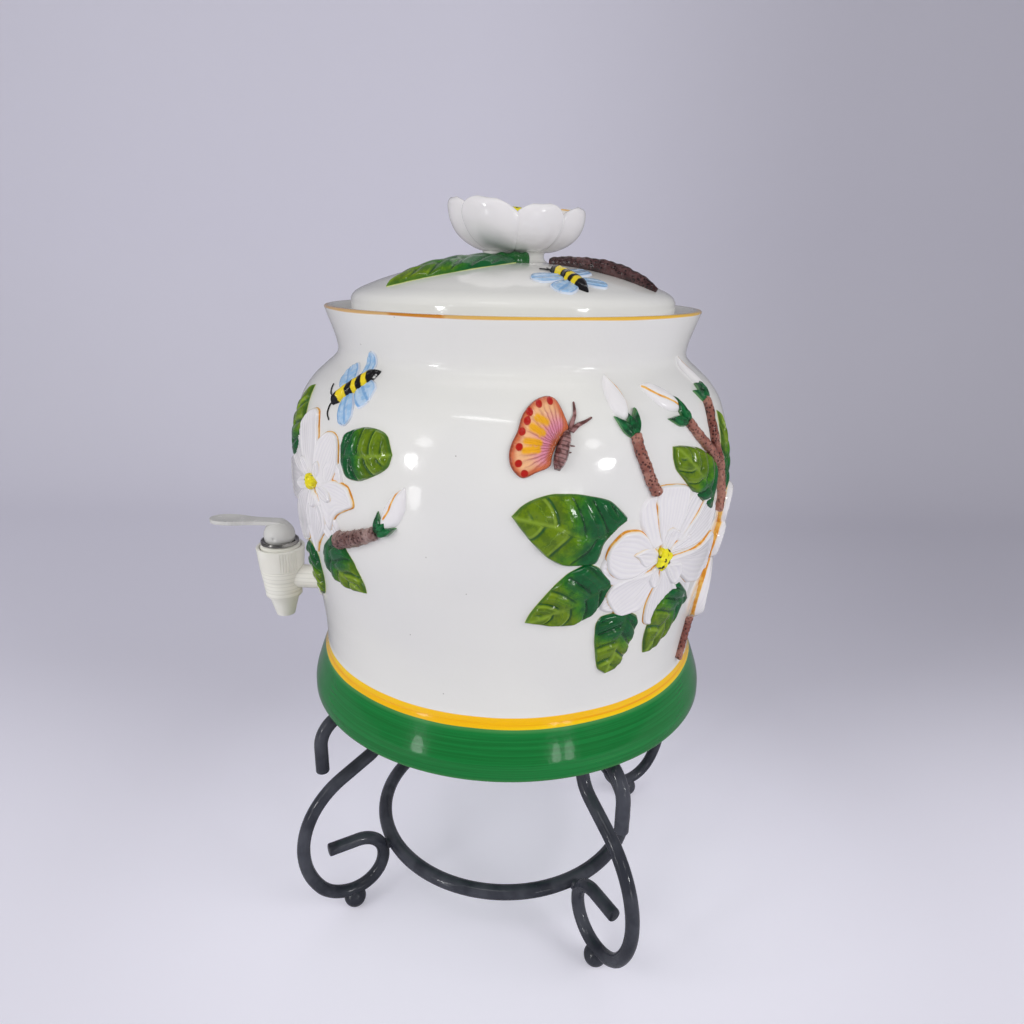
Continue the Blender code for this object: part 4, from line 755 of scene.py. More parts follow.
# %% [markdown]
# Petals are drawn as leaves are, but blunt at the tip. Each is lifted a little more or less than
# its neighbour, so that their edges stand over one another as they do in the pressed flower. A
# lifted petal arches down again at its margin, and its gold line goes a little way down its side.

# %% Flowers on the wall
SIDE_UNPAINTED = 1.7


def petal(clay, base, tip, left, right, blunt, lift, gold=1.0, grooves=5.0, thick=1.1):
    sheet = Sheet(base, tip, left, right, 0, blunt, rows=48, columns=44)
    groove = np.cos(math.tau * grooves * sheet.u + 1.5 * sheet.s)
    groove = groove * soft(sheet.edge, 0.8, 2.6) * soft(sheet.s, 0.1, 0.4)
    arch = 0.35 + 0.65 * soft(sheet.edge, 0, 1.0 + 0.5 * lift)
    height = sheet.roll(thick, 2.4) + 0.75 * lift * arch * (0.2 + 0.8 * sheet.s)
    height = height + 0.25 * hump(sheet.edge - 1.6, 0.9) - 0.4 * soft(sheet.edge, 2.0, 7.0) + 0.1 * groove
    side = np.where(sheet.edge < AT_RIM, height - SUNK, 0)
    edge = sheet.edge + 0.5 * np.clip(side - SIDE_UNPAINTED, 0, None)
    slab(clay, sheet, height - side, edge=edge, groove=groove, gold=np.full_like(height, gold))

# %% [markdown]
# A flower's heart is round, so it is made of rings of points, each joined to the next. The same
# helper later joins the rings of the wing, of the rods and of the lever's arm.

# %% A heart of rings
def between_rings(rings, count, first=0, flipped=False):
    """Faces that join each ring of points to the next."""
    faces = []
    for low in range(first, first + (rings - 1) * count, count):
        for k in range(count):
            n = (k + 1) % count
            faces.append((low + k, low + n, low + count + n, low + count + k))
    return [(a, d, c, b) for a, b, c, d in faces] if flipped else faces


def heart(clay, centre, wide, tall, lift):
    """A lumpy dome at the middle of a flower."""
    turns = np.linspace(0, math.tau, 41)[:-1]
    outs = np.sqrt(np.linspace(0, 1, 13))[:, None]
    lump = 1 + 0.12 * np.sin(3 * turns + 1) + 0.07 * np.sin(7 * turns)
    x = centre[0] + wide * outs * lump * np.cos(turns)
    y = centre[1] + tall * outs * lump * np.sin(turns)
    rise = lift + 2.6 * np.sqrt(np.clip(1 - outs**2, 0, 1)) + 0.3 * np.sin(9 * turns) * outs
    rise[-1] = lift - 2.5
    count = len(turns)
    faces = between_rings(len(outs) - 1, count, first=count, flipped=True)
    clay.add(on_wall(x, y, rise + 0 * x), faces + [tuple(range(count, 2 * count))])

# %% [markdown]
# The main flower faces the viewer, the left one looks towards the tap, and the side one goes on
# round the pot. Each has unpainted petals behind, its painted ones, and small ones round the heart.
# Places are an azimuth in degrees and a height in millimetres, as everywhere on the wall.

# %% The petals' places
MAIN_HEART = (41.6, 278.5)
MAIN_PETALS = (
    ((41.8, 281), (44.2, 317), (2, 5.5, 9, 11.6, 14, 14), (1.5, 4.5, 8.7, 11, 11.6, 10), 0.93, 1.0),
    ((42.5, 280), (62.5, 297), (1, 2.6, 6, 9.4, 13, 6), (1, 5, 9, 12, 12.4, 6), 0.84, 0.5),
    ((43, 277), (67, 262), (1, 3.4, 6, 10.4, 16, 9), (1, 6, 11, 14.6, 15, 9), 0.84, 1.3),
    ((42, 275), (46, 236), (1, 4, 10, 15, 16.6, 8), (1, 2.6, 8, 11.6, 12.4, 7), 0.86, 0.3),
    ((41, 274), (29, 254), (3, 8.5, 12.6, 15.6, 12, 8), (1, 3, 7.5, 11.6, 13, 10), 0.93, 0.7),
    ((40.5, 278), (26, 288.4), (2.5, 7.5, 12.6, 13.8, 11.6, 6), (2, 6, 11.4, 13.6, 12.2, 6), 0.85, 1.2),
)
MAIN_INNER = (
    ((41.8, 280), (43.4, 295.2), (2, 4, 5, 5, 4.6, 2), (2, 4, 5.5, 7, 8, 4)),
    ((42.8, 280), (51.4, 285.6), (0.5, 3.4, 3.8, 3.8, 4.4, 2), (0.5, 1.2, 2.6, 4, 4, 2)),
    ((42.8, 276.5), (48.8, 259.4), (1, 2.6, 6, 9, 8, 4), (1, 2.8, 3.8, 4, 3.6, 2)),
    ((41.2, 275), (40.4, 261), (0.5, 0.6, 2, 3, 2.8, 1.5), (3, 5.4, 5.8, 5.6, 4, 2)),
    ((40.6, 279), (32.2, 284.2), (2, 4.4, 6.4, 4.8, 1.8, 0.6), (2, 4.4, 5.8, 5.4, 3.4, 1)),
)
MAIN_BEHIND = (
    ((40, 285), (36, 313.5), (4, 7, 8, 9, 8, 5), (4, 8, 10, 10, 9, 6)),
    ((38, 276), (24.8, 280), (4, 8, 10, 11, 10, 6), (4, 8, 10, 10, 9, 6)),
    ((38, 268), (26.2, 255.5), (3, 6, 8, 8, 7, 4)),
    ((46, 285), (56, 309), (4, 8, 10, 11, 10, 6), (4, 8, 10, 10, 9, 6)),
    ((46, 268), (57, 243), (4, 8, 11, 12, 11, 7)),
)
LEFT_HEART = (-46.8, 309.2)
LEFT_PETALS = (
    ((-46, 313), (-51.5, 345.6), (3, 9, 14.5, 15, 16, 7), (2, 5.5, 8.6, 10, 9.6, 8), 0.88, 1.0),
    ((-44, 309), (-38, 337.4), (3, 8, 12, 12.4, 9.6, 5), (5, 9.5, 10.8, 10.6, 7.6, 4), 0.85, 0.4),
    ((-44.5, 308), (-30.6, 303.8), (3, 5, 8, 9.5, 9, 2), (3, 12, 21, 10, 5, 1), 0.95, 0.9),
    ((-46, 304), (-50.2, 266), (3, 11.5, 13, 9, 4.6, 1), (3, 8, 10, 9.5, 6, 1), 0.96, 0.5),
    ((-48, 305), (-62, 266), (2, 7, 10, 11, 8, 2), (2, 7, 10, 11, 9, 2), 0.95, 0.9),
    ((-49, 309), (-68.5, 300), (2, 7, 11, 13, 12, 6), (2, 7, 11, 13, 12, 6), 0.85, 0.4),
    ((-49, 311), (-64, 329), (2, 6, 9, 10, 9, 5), (2, 6, 9, 10, 9, 5), 0.85, 0.8),
)
LEFT_INNER_HALF = (2, 3.4, 4.4, 4.6, 3.6, 1.5)
LEFT_INNER = (
    ((-46, 311), (-43.8, 321.4), (2, 3.4, 4, 4, 3, 1.5)),
    ((-47.4, 311), (-53.6, 320), LEFT_INNER_HALF),
    ((-48.4, 308), (-56.4, 303), LEFT_INNER_HALF),
    ((-47, 306), (-47.6, 294), (2, 3.4, 4.6, 5, 4, 1.5)),
    ((-45, 307.6), (-38, 303.4), LEFT_INNER_HALF),
)
LEFT_BEHIND_HALF = (4, 7, 9, 9, 8, 5)
LEFT_BEHIND = (
    ((-42, 314), (-34.6, 318), LEFT_BEHIND_HALF),
    ((-45, 298), (-37.4, 281), LEFT_BEHIND_HALF),
    ((-52, 316), (-62, 343), LEFT_BEHIND_HALF),
)
SIDE_HEART = (88, 262.3)
SIDE_WAYS = ((80, 40), (20, 38), (-40, 38), (-92, 38), (-134, 59), (168, 45), (136, 54))
SIDE_LIFTS = (0.4, 0.9, 0.4, 2.0, 10.0, 7.0, 6.0)
SIDE_HALF = (2, 7, 11.4, 13.6, 12.4, 7)
SIDE_INNER_HALF = (2, 3.6, 4.8, 5, 4, 2)
SIDE_BEHIND_HALF = (4, 8, 11, 12, 11, 7)
HEART_EDGE = 3

# %% [markdown]
# The photo shows the side flower nearly edge on, so its petals are placed by direction and length
# only. One function then presses all three flowers.

# %% Pressing the flowers
def way_petals(centre, ways, half, out=0.0):
    """Petals placed by their direction and length about a heart."""
    middle = spot(*centre)
    made = []
    for degrees, length in ways:
        way = np.array([math.cos(math.radians(degrees)), math.sin(math.radians(degrees))])
        made.append((middle + way * (HEART_EDGE + out), middle + way * length, half, half))
    return made


def make_flower(name, node, centre, petals, inner, behind, heart_size):
    """Three layers of petals, then the heart. Where both halves are alike, a row gives one."""
    clay = Clay()
    for base, tip, *half in behind:
        petal(clay, base, tip, half[0], half[-1], 0.8, -0.3, gold=0.0, grooves=3.0, thick=1.0)
    for base, tip, left, right, blunt, lift in petals:
        petal(clay, base, tip, left, right, blunt, lift)
    for base, tip, *half in inner:
        petal(clay, base, tip, half[0], half[-1], 0.86, 1.9, grooves=2.5, thick=0.9)
    clay.piece(name, PETAL_GLAZE, "pot", (node,))
    knot = Clay()
    heart(knot, spot(*centre), *heart_size, 1.9)
    knot.piece(name + "_heart", HEART_YELLOW, "pot")


def placed(rows):
    return [(spot(*row[0]), spot(*row[1])) + tuple(row[2:]) for row in rows]


make_flower(
    "main_magnolia", "main_flower", MAIN_HEART,
    placed(MAIN_PETALS), placed(MAIN_INNER), placed(MAIN_BEHIND), (4.6, 6.2),
)
make_flower(
    "left_magnolia", "left_flower", LEFT_HEART,
    placed(LEFT_PETALS), placed(LEFT_INNER), placed(LEFT_BEHIND), (4.4, 4.0),
)
side = [row + (0.84, lift) for row, lift in zip(way_petals(SIDE_HEART, SIDE_WAYS, SIDE_HALF), SIDE_LIFTS)]
side_inner = way_petals(SIDE_HEART, [(way + 30, 17) for way, _ in SIDE_WAYS], SIDE_INNER_HALF)
side_behind = way_petals(SIDE_HEART, [(way + 32, 36) for way, _ in SIDE_WAYS], SIDE_BEHIND_HALF, 6)
make_flower("side_magnolia", "side_flower", SIDE_HEART, side, side_inner, side_behind, (5.6, 5.6))

# %% [markdown]
# Twigs are rolled strings of clay, scored like bark and painted a mauve brown that is dabbed on
# with a nearly dry sponge, so dark dots cover a paler ground.

# %% The twigs' finish
def twig_glaze(name, ground, pale, dark):
    paint = glaze(name, "twig_glaze", 0.35, 0.06)
    drift = paint.noise(120, detail=3.0)
    colour = paint.mix(paint.ramp(drift, 0.35, 0.68), ground, pale)
    dabs = paint.ramp(paint.cells(620), 0.42, 0.3)
    colour = paint.mix(paint.times(dabs, paint.ramp(drift, 0.7, 0.45, 0.3, 0.9)), colour, dark)
    relief = paint.bump(paint.cells(480), 0.0004, before=paint.bump(drift, 0.0006))
    return paint.use(colour, paint.ramp(drift, 0.3, 0.7, 0.16, 0.34), relief)


TWIG_GLAZE = twig_glaze("twig_mauve", srgb(132, 78, 68), srgb(178, 124, 108), srgb(62, 30, 28))
LID_TWIG_GLAZE = twig_glaze("twig_dark", srgb(60, 38, 40), srgb(98, 68, 68), srgb(26, 14, 16))
GREY_TWIG_GLAZE = twig_glaze("twig_grey", srgb(112, 80, 76), srgb(164, 136, 130), srgb(62, 38, 38))

# %% [markdown]
# A rod is a circle carried along a line. The circle's frame is carried too, turned as little as
# possible at each step, so that the rod doesn't twist. Twigs are such rods half sunk in the wall.

# %% Rods
def tube(rings, start, end):
    """Rings of points joined into a solid, closed to a point at either end."""
    count = len(rings[0])
    faces = between_rings(len(rings), count)
    first = len(rings) * count
    for k in range(count):
        n = (k + 1) % count
        faces += [(first, n, k), (first + 1, first - count + k, first - count + n)]
    return np.concatenate([*rings, [start], [end]]), faces


def rod(path, radii, sides=20):
    """A round rod along a path, closed at both ends. Its radius may change."""
    path = np.asarray(path, float)
    radii = np.broadcast_to(np.asarray(radii, float), len(path))
    along = np.gradient(path, axis=0)
    along /= np.linalg.norm(along, axis=1)[:, None]
    side = np.cross(along[0], (0, 0, 1) if abs(along[0][2]) < 0.9 else (1, 0, 0))
    turns = np.arange(sides) * math.tau / sides
    rings = []
    for place, way, radius in zip(path, along, radii):
        side = side - way * side.dot(way)
        side = side / np.linalg.norm(side)
        over = np.cross(way, side)
        rings.append(place + radius * (np.outer(np.cos(turns), side) + np.outer(np.sin(turns), over)))
    return tube(rings, path[0], path[-1])


def round_ends(path, radius, bevel=0.9):
    """The path with two close rings at each end, and the radii that bevel them."""
    path = np.asarray(path, float)
    head = path[0] - path[1]
    head = head / np.linalg.norm(head)
    tail = path[-1] - path[-2]
    tail = tail / np.linalg.norm(tail)
    start = [path[0] - head * bevel * share for share in (0, 0.3, 1)]
    end = [path[-1] - tail * bevel * share for share in (1, 0.3, 0)]
    taper = [radius - bevel, radius - bevel * 0.3, radius]
    return np.concatenate([start, path[1:-1], end]), taper + [radius] * (len(path) - 2) + taper[::-1]


def flow(places, steps=40):
    """A soft line through places of any number of axes."""
    line = np.array(places, float)
    run = np.concatenate([[0], np.cumsum(np.linalg.norm(np.diff(line, axis=0), axis=1))])
    at = np.linspace(0, run[-1], steps)
    return np.stack([smooth_reader(run, column)(at) for column in line.T], -1)

# %% [markdown]
# Bark is uneven: a twig's radius swings a little along its length, and the grey twig has rings
# too. Its ends are a little thinner, as the potter's thumb leaves them.

# %% Twigs on the wall
def wall_rod(clay, places, half_start, half_end, sink=0.25, bumps=0.0, rings=0, sides=16):
    """A rod on the wall through (azimuth, height) places."""
    flat = flow([spot(*place) for place in places], 60)
    share = np.linspace(0, 1, len(flat))
    radii = half_start + (half_end - half_start) * share
    radii = radii * (1 + bumps * np.sin(share * 47) * np.sin(share * 19 + 1))
    if rings:
        radii = radii * (1 - 0.09 * np.cos(share * math.tau * rings))
    radii[0] *= 0.8
    radii[-1] *= 0.8
    path = on_wall(flat[:, 0], flat[:, 1], radii * sink)
    clay.add(*rod(path, radii, sides))


TWIGS = {
    "twig_main": (
        ((64.6, 292), (66, 300), (64.8, 308), (64.4, 316), (62.6, 325), (61.2, 333), (61, 341), (63.2, 353)),
        3.2, 2.8, 0,
    ),
    "twig_bud_a": (((37.9, 314.5), (36.2, 321), (34.6, 330), (33.4, 337), (32.9, 343.5)), 3.0, 2.8, 0),
    "twig_bud_b": (((61.6, 322), (58.8, 328), (55.4, 334), (52.4, 340), (50.2, 345.6)), 2.9, 2.7, 0),
    "twig_low": (((66.8, 222), (66.2, 214), (64.8, 205), (63.2, 197)), 3.0, 2.7, 0),
    "twig_left": (((-36.4, 283.2), (-33.4, 285), (-29.6, 288.2), (-24.6, 293)), 4.6, 3.4, 9),
}
for name, (places, start, end, rings) in TWIGS.items():
    clay = Clay()
    wall_rod(clay, places, start, end, bumps=0.07, rings=rings)
    clay.piece(name + "_bark", GREY_TWIG_GLAZE if rings else TWIG_GLAZE, "pot", (name,))

# %% [markdown]
# A bud is a smooth white teardrop with one gold stroke down its fold. It sits in a cup of three
# dark green points, the sepals, which are pressed with the twig.

# %% Buds and sepals
def sepal_glaze():
    paint = glaze("sepal_green", "leaf_glaze", 0.6, 0.04)
    brush = paint.noise(300, detail=3.0)
    colour = paint.mix(paint.ramp(brush, 0.35, 0.65), srgb(4, 66, 36), srgb(22, 108, 58))
    halo = paint.ramp(paint.field("edge"), 0.35, 0.0, 0, 0.6)
    colour = paint.mix(halo, colour, srgb(120, 168, 110))
    return paint.use(colour, 0.12, paint.bump(brush, 0.0003))


SEPAL_GREEN = sepal_glaze()
BUDS = {
    "bud_a": ((31.4, 350), (30.3, 369.6), (2.4, 5.6, 6.6, 6.2, 4.2, 0.5), (2, 4.2, 5.4, 5.2, 3.4, 0.5),
              ((33, 353.4), (33, 356.7), (32.2, 362.1), (31.4, 365.4), (30.7, 368.4))),
    "bud_b": ((49.6, 352.6), (39.6, 363.6), (1.6, 4.4, 5.4, 5.2, 3.6, 0.5), (2, 4.4, 5.4, 5.2, 3.4, 0.5),
              ((48.6, 353.2), (46.4, 355.5), (42.8, 358.7), (41.4, 360.6), (40.2, 362.9))),
    "bud_c": ((68.4, 354), (64.4, 374.6), (1.6, 3.6, 4.2, 4, 2.6, 0.5), (2, 7, 9, 8.4, 5, 0.5),
              ((69.6, 360), (69, 362.9), (67.9, 367.1), (66.3, 371.4), (64.8, 374))),
    "bud_left": ((-23.4, 294.6), (-17.2, 318.4), (1.5, 3, 4, 4, 2.6, 0.4), (1.5, 5, 6.6, 6.2, 4, 0.4),
                 ((-22.2, 301.4), (-20.8, 306), (-20.1, 310), (-19.3, 314.3), (-18.2, 318))),
}
for name, (base, tip, left, right, stroke) in BUDS.items():
    clay = Clay()
    sheet = Sheet(spot(*base), spot(*tip), left, right, 0, 0.9, rows=40, columns=24)
    away = from_line(sheet.x, sheet.y, flow([spot(*place) for place in stroke], 24))
    height = sheet.tucked(sheet.roll(1.0, 2.6) + sheet.crown(1.3) - 0.35 * hump(away, 0.9))
    lined = np.ones_like(height)
    slab(clay, sheet, height, edge=sheet.edge, stroke=away, lined=lined, gold=0 * lined, groove=lined)
    clay.piece(name + "_white", PETAL_GLAZE, "pot", (name,))

# %% Sepals
SEPAL_HALF = (1.6, 2.4, 2.6, 2.0, 1.0, 0.1)
SEPALS = {
    "sepals_a": ((32.6, 342.8), ((28.4, 352), (31.9, 353.2), (34.4, 355))),
    "sepals_b": ((49.8, 345.2), ((43.4, 348.4), (48.6, 357.6), (49.6, 352.6))),
    "sepals_c": ((63.6, 352.6), ((59.6, 357.8), (66.8, 360.8), (63.8, 360.4))),
    "sepals_left": ((-24, 292.6), ((-23.8, 304.6), (-21.4, 300.8), (-19.2, 297.6))),
}
for name, (base, tips) in SEPALS.items():
    clay = Clay()
    for k, tip in enumerate(tips):
        sheet = Sheet(spot(*base), spot(*tip), SEPAL_HALF, SEPAL_HALF, 0, rows=28, columns=16)
        height = sheet.roll(2.6 + 0.4 * k, 1.6) + 0.6 * sheet.s - 0.4 * hump(sheet.rib, 0.6)
        slab(clay, sheet, sheet.tucked(height), edge=sheet.edge)
    clay.piece(name, SEPAL_GREEN, "pot")

# %% [markdown]
# The butterfly rests with its wings closed, seen from the side. Orange brown runs round the wing's
# edge with dark red dots in it, yellow patches lie inside, and the root is pink with fine strokes
# that fan out. Distances to the dots, to the patches and to the root are stored on the clay.

# %% The butterfly
WING_OUTLINE = (
    (17.2, 347.5), (16.8, 353), (15.4, 359.4), (13, 361), (9.8, 358.7), (7.4, 353.6), (6.3, 347), (5.1, 341.6),
    (4.6, 336.4), (5.2, 330.6), (7.4, 326.2), (10.2, 328.6), (13, 331.4), (13.6, 336.4), (15, 342.4),
)
WING_DOTS = (
    (13.7, 358.4), (11.1, 357.4), (9, 354.2), (8.4, 350.6), (7.3, 346.4), (6.7, 340), (6.6, 333), (7.8, 328.6),
)
WING_PATCHES = (
    ((10.6, 351.8), (12.4, 350)), ((9.4, 348.2), (11.6, 345.6)),
    ((8.2, 342.6), (10.8, 341.8)), ((7.8, 338.6), (10.4, 338.8)),
)
WING_ROOT = (15.2, 339.6)
WING_RAYS = 21

# %% A soft closed line
def closed_line(places, per=8):
    """A soft closed line through a few places: a Catmull-Rom spline."""
    pts = np.array(places, float)
    line = []
    for k in range(len(pts)):
        a, b, c, d = (pts[(k + j) % len(pts)] for j in (-1, 0, 1, 2))
        for t in np.arange(per) / per:
            bend = (2 * a - 5 * b + 4 * c - d) * t**2 + (3 * b - a - 3 * c + d) * t**3
            line.append(0.5 * (2 * b + (c - a) * t + bend))
    return np.array(line)

# %% The wing's finish
def wing_glaze():
    paint = glaze("wing_orange", "butterfly_glaze", 0.5, 0.04)
    edge = paint.field("edge")
    root = paint.field("root")
    ray = paint.field("ray")
    brush = paint.noise(260, detail=3.0)
    fan = paint.wave(paint.times(paint.sum(ray, paint.times(brush, 0.12)), 2 * WING_RAYS))
    inner = paint.mix(paint.ramp(root, 8, 17), srgb(240, 150, 176), srgb(250, 190, 140))
    strokes = paint.times(paint.ramp(fan, 0.35, 0.95), paint.ramp(root, 22, 12, 0, 0.7))
    inner = paint.mix(strokes, inner, srgb(176, 82, 84))
    patch = paint.ramp(paint.sum(paint.field("patch"), paint.times(brush, 1.2)), 3.0, 1.4)
    inner = paint.mix(patch, inner, srgb(250, 178, 30))
    border = paint.ramp(paint.sum(edge, paint.times(brush, 2.4)), 5.6, 2.6)
    colour = paint.mix(border, inner, srgb(214, 112, 72))
    burnt = paint.ramp(paint.sum(edge, paint.times(brush, 1.4), paint.times(root, -0.05)), 1.2, 0.2, 0, 0.85)
    colour = paint.mix(burnt, colour, srgb(142, 58, 34))
    dot = paint.ramp(paint.sum(paint.field("dot"), paint.times(brush, 0.6)), 2.3, 1.8)
    colour = paint.mix(dot, colour, srgb(184, 26, 10))
    relief = paint.bump(fan, 0.00025, before=paint.bump(brush, 0.0004))
    return paint.use(colour, paint.ramp(brush, 0.3, 0.7, 0.1, 0.2), relief)

# %% The wing
def disc(clay, outline, height, rings=16, **extra):
    """A solid over an outline on the wall, drawn from its middle out to its edge."""
    centre = outline.mean(axis=0)
    outs = 1 - (1 - np.linspace(0, 1, rings + 1)[1:]) ** 1.6
    x = centre[0] + outs[:, None] * (outline[:, 0] - centre[0])
    y = centre[1] + outs[:, None] * (outline[:, 1] - centre[1])
    x = np.concatenate([[centre[0]], x.ravel()])
    y = np.concatenate([[centre[1]], y.ravel()])
    edge = from_line(x, y, outline, closed=True)
    count = len(outline)
    lift = height(x, y, edge)
    lift[-count:] = SUNK
    first = len(x)
    faces = [(0, 1 + k, 1 + (k + 1) % count) for k in range(count)]
    faces += between_rings(rings, count, first=1, flipped=True)
    faces += between_rings(2, count, first=first - count, flipped=True)
    faces.append(tuple(range(first + count - 1, first - 1, -1)))
    top = on_wall(x, y, lift)
    deep = on_wall(x[-count:], y[-count:], np.full(count, UNDER))
    fields = {key: make(x, y, edge) for key, make in extra.items()}
    fields["edge"] = edge
    fields = {key: np.concatenate([value, value[-count:]]) for key, value in fields.items()}
    clay.add(np.concatenate([top, deep]), faces, **fields)


def nearest(places):
    """A field: the distance to the nearest of a few places."""
    places = [spot(*place) for place in places]
    return lambda x, y, edge: np.min([np.hypot(x - px, y - py) for px, py in places], axis=0)


root_x, root_y = spot(*WING_ROOT)


def wing_height(x, y, edge):
    """A rounded rim and a low dome, with fine rays that fan out from the root."""
    rounded = 1.7 * np.sqrt(1 - (1 - np.clip(edge / 1.5, 0, 1)) ** 2) + 0.9 * soft(edge, 0, 9)
    rays = np.sin(np.arctan2(y - root_y, x - root_x) * WING_RAYS)
    return rounded + 0.3 * rays * soft(edge, 0.6, 3)


patch_lines = [np.array([spot(*a), spot(*b)]) for a, b in WING_PATCHES]
BUTTERFLY_GLAZE = wing_glaze()
clay = Clay()
disc(
    clay, closed_line([spot(*place) for place in WING_OUTLINE]), wing_height,
    dot=nearest(WING_DOTS),
    patch=lambda x, y, edge: np.min([from_line(x, y, line) for line in patch_lines], axis=0),
    root=lambda x, y, edge: np.hypot(x - root_x, y - root_y),
    ray=lambda x, y, edge: np.arctan2(y - root_y, root_x - x),
)
clay.piece("butterfly_wing", BUTTERFLY_GLAZE, "pot", ("butterfly",))

# %% [markdown]
# Its body is a ringed spindle, mauve brown like the twigs, with two thick feelers and tiny feet.

# %% The butterfly's body
BODY_RINGS = 66


def body_brown():
    paint = glaze("insect_brown", "butterfly_glaze", 0.5, 0.05)
    brush = paint.noise(380, detail=3.0)
    colour = paint.mix(paint.ramp(brush, 0.38, 0.62), srgb(96, 60, 58), srgb(160, 118, 116))
    ring = paint.wave(paint.times(paint.field("along"), BODY_RINGS))
    colour = paint.mix(paint.ramp(ring, 0.2, 0.9, 0, 0.6), colour, srgb(62, 32, 32))
    return paint.use(colour, 0.18, paint.bump(ring, 0.0002))


INSECT_BROWN = body_brown()
clay = Clay()
sheet = Sheet(
    spot(14.5, 329.6), spot(17.1, 347.6), (1.4, 3, 3.5, 3.3, 3, 1.8), (1.4, 3, 3.5, 3.3, 2.9, 1.8),
    blunt=0.88, rows=48, columns=24,
)
height = sheet.roll(2.4, 2.6) + sheet.crown(1.5) + 0.16 * np.sin(sheet.s * BODY_RINGS)
slab(clay, sheet, sheet.tucked(height), along=sheet.s)
FEELERS = (
    ((17.5, 346.5), (18.2, 350), (19.2, 354), (19.5, 358.6)),
    ((17.9, 346.8), (19.6, 349.2), (21.4, 350.6), (23, 352.1)),
)
FEET = (((16.6, 341), (17.6, 340.4), (18.4, 340.2)), ((16.2, 338), (17, 337.4), (17.6, 337.5)))
for places in FEELERS:
    wall_rod(clay, places, 1.5, 0.5, 0.2, sides=12)
for places in FEET:
    wall_rod(clay, places, 0.55, 0.3, 0.3, sides=8)
clay.piece("butterfly_body", INSECT_BROWN, "pot")

# %% [markdown]
# The bees have a yellow body banded in black and four light blue wings with darker strokes and
# white rims. The same bee sits on the wall and on the lid, so it is made by one function that
# takes the sheet it lies on.

# %% The bees' finishes
def bee_glaze():
    paint = glaze("bee_banded", "bee_glaze", 0.5, 0.04)
    brush = paint.noise(420, detail=2.0)
    along = paint.sum(paint.field("along"), paint.times(brush, 0.05), -0.025)
    dark = paint.sum(
        paint.ramp(along, 0.2, 0.18), paint.band(along, 0.38, 0.51, 0.01), paint.band(along, 0.6, 0.69, 0.01),
        paint.ramp(along, 0.78, 0.8),
    )
    colour = paint.mix(dark, srgb(240, 212, 40), srgb(20, 18, 22))
    return paint.use(colour, 0.14, paint.bump(brush, 0.0002))


def bee_wing_glaze():
    paint = glaze("bee_wing_blue", "bee_glaze", 0.5, 0.04)
    brush = paint.noise(300, detail=3.0)
    stroke = paint.wave(paint.times(paint.sum(paint.field("side"), paint.times(brush, 0.3)), 7))
    colour = paint.mix(paint.ramp(brush, 0.35, 0.65), srgb(150, 192, 232), srgb(188, 214, 240))
    colour = paint.mix(paint.ramp(stroke, 0.45, 0.95, 0, 0.6), colour, srgb(96, 150, 206))
    colour = paint.mix(paint.ramp(paint.field("edge"), 0.8, 0.3, 0, 0.9), colour, srgb(226, 232, 244))
    return paint.use(colour, 0.14, paint.bump(stroke, 0.0002))


BEE_GLAZE = bee_glaze()
BEE_WING_BLUE = bee_wing_glaze()

# %% The bees
BEE_WINGS = (
    (0.58, 0.78, 0.56, 0.17), (0.38, 0.04, 0.66, 0.17), (0.4, 0.34, -0.64, 0.19), (0.62, 0.9, -0.5, 0.19),
)
BEE_HALF_SHARES = (0.07, 0.115, 0.13, 0.14, 0.125, 0.04)
BEE_WING_SHARES = (0.35, 0.8, 1.0, 1.1, 1.05, 0.6)
FEELER_STEPS = 20


def make_bee(name, node, head, tail, body, skin, feelers):
    """A bee from its head to its tail. A wing has its root, its tip and its width, as shares."""
    clay = Clay()
    way = tail - head
    length = float(np.hypot(*way))
    way = way / length
    across = np.array([-way[1], way[0]])
    half = np.array(BEE_HALF_SHARES) * length
    sheet = Sheet(head, tail, half, half, 0, 0.86, rows=48, columns=24)
    height = sheet.roll(2.6, 2.4) + sheet.crown(1.5) + 0.12 * np.cos(sheet.s * 39)
    slab(clay, sheet, sheet.tucked(height), skin, along=sheet.s)
    for places in feelers:
        line = flow(places, FEELER_STEPS)
        path = skin(line[:, 0], line[:, 1], np.full(FEELER_STEPS, 0.3))
        points, faces = rod(path, np.linspace(0.5, 0.35, FEELER_STEPS), 8)
        clay.add(points, faces, along=np.zeros(len(points)))
    clay.piece(name, BEE_GLAZE, body, (node,))
    wings = Clay()
    for start, ahead, aside, wide in BEE_WINGS:
        root = head + way * (length * start)
        tip = head + way * (length * ahead) + across * (length * aside)
        half = np.array(BEE_WING_SHARES) * wide * length
        sheet = Sheet(root, tip, half, half, 0, 0.8, rows=36, columns=20)
        height = sheet.roll(1.2, 1.6) + 0.15 * np.cos(sheet.u * 14)
        slab(wings, sheet, sheet.tucked(height), skin, edge=sheet.edge, side=sheet.u)
    wings.piece(name + "_wings", BEE_WING_BLUE, body)


make_bee(
    "wall_bee", "bee", spot(-43.2, 351.3), spot(-33.2, 367.2), "pot", on_wall,
    [[spot(-42.6, 353.4), spot(-45.3, 353.8), spot(-47, 355.4), spot(-48.4, 358.5)],
     [spot(-42.6, 352), spot(-43.8, 349.4), spot(-43.6, 346), spot(-42.1, 342.8)]],
)

# %% [markdown]
# The lid is a low dome on a straight edge, with a locating flange underneath and a short neck on
# top that carries the flower. Its sheet is simply the view from above.

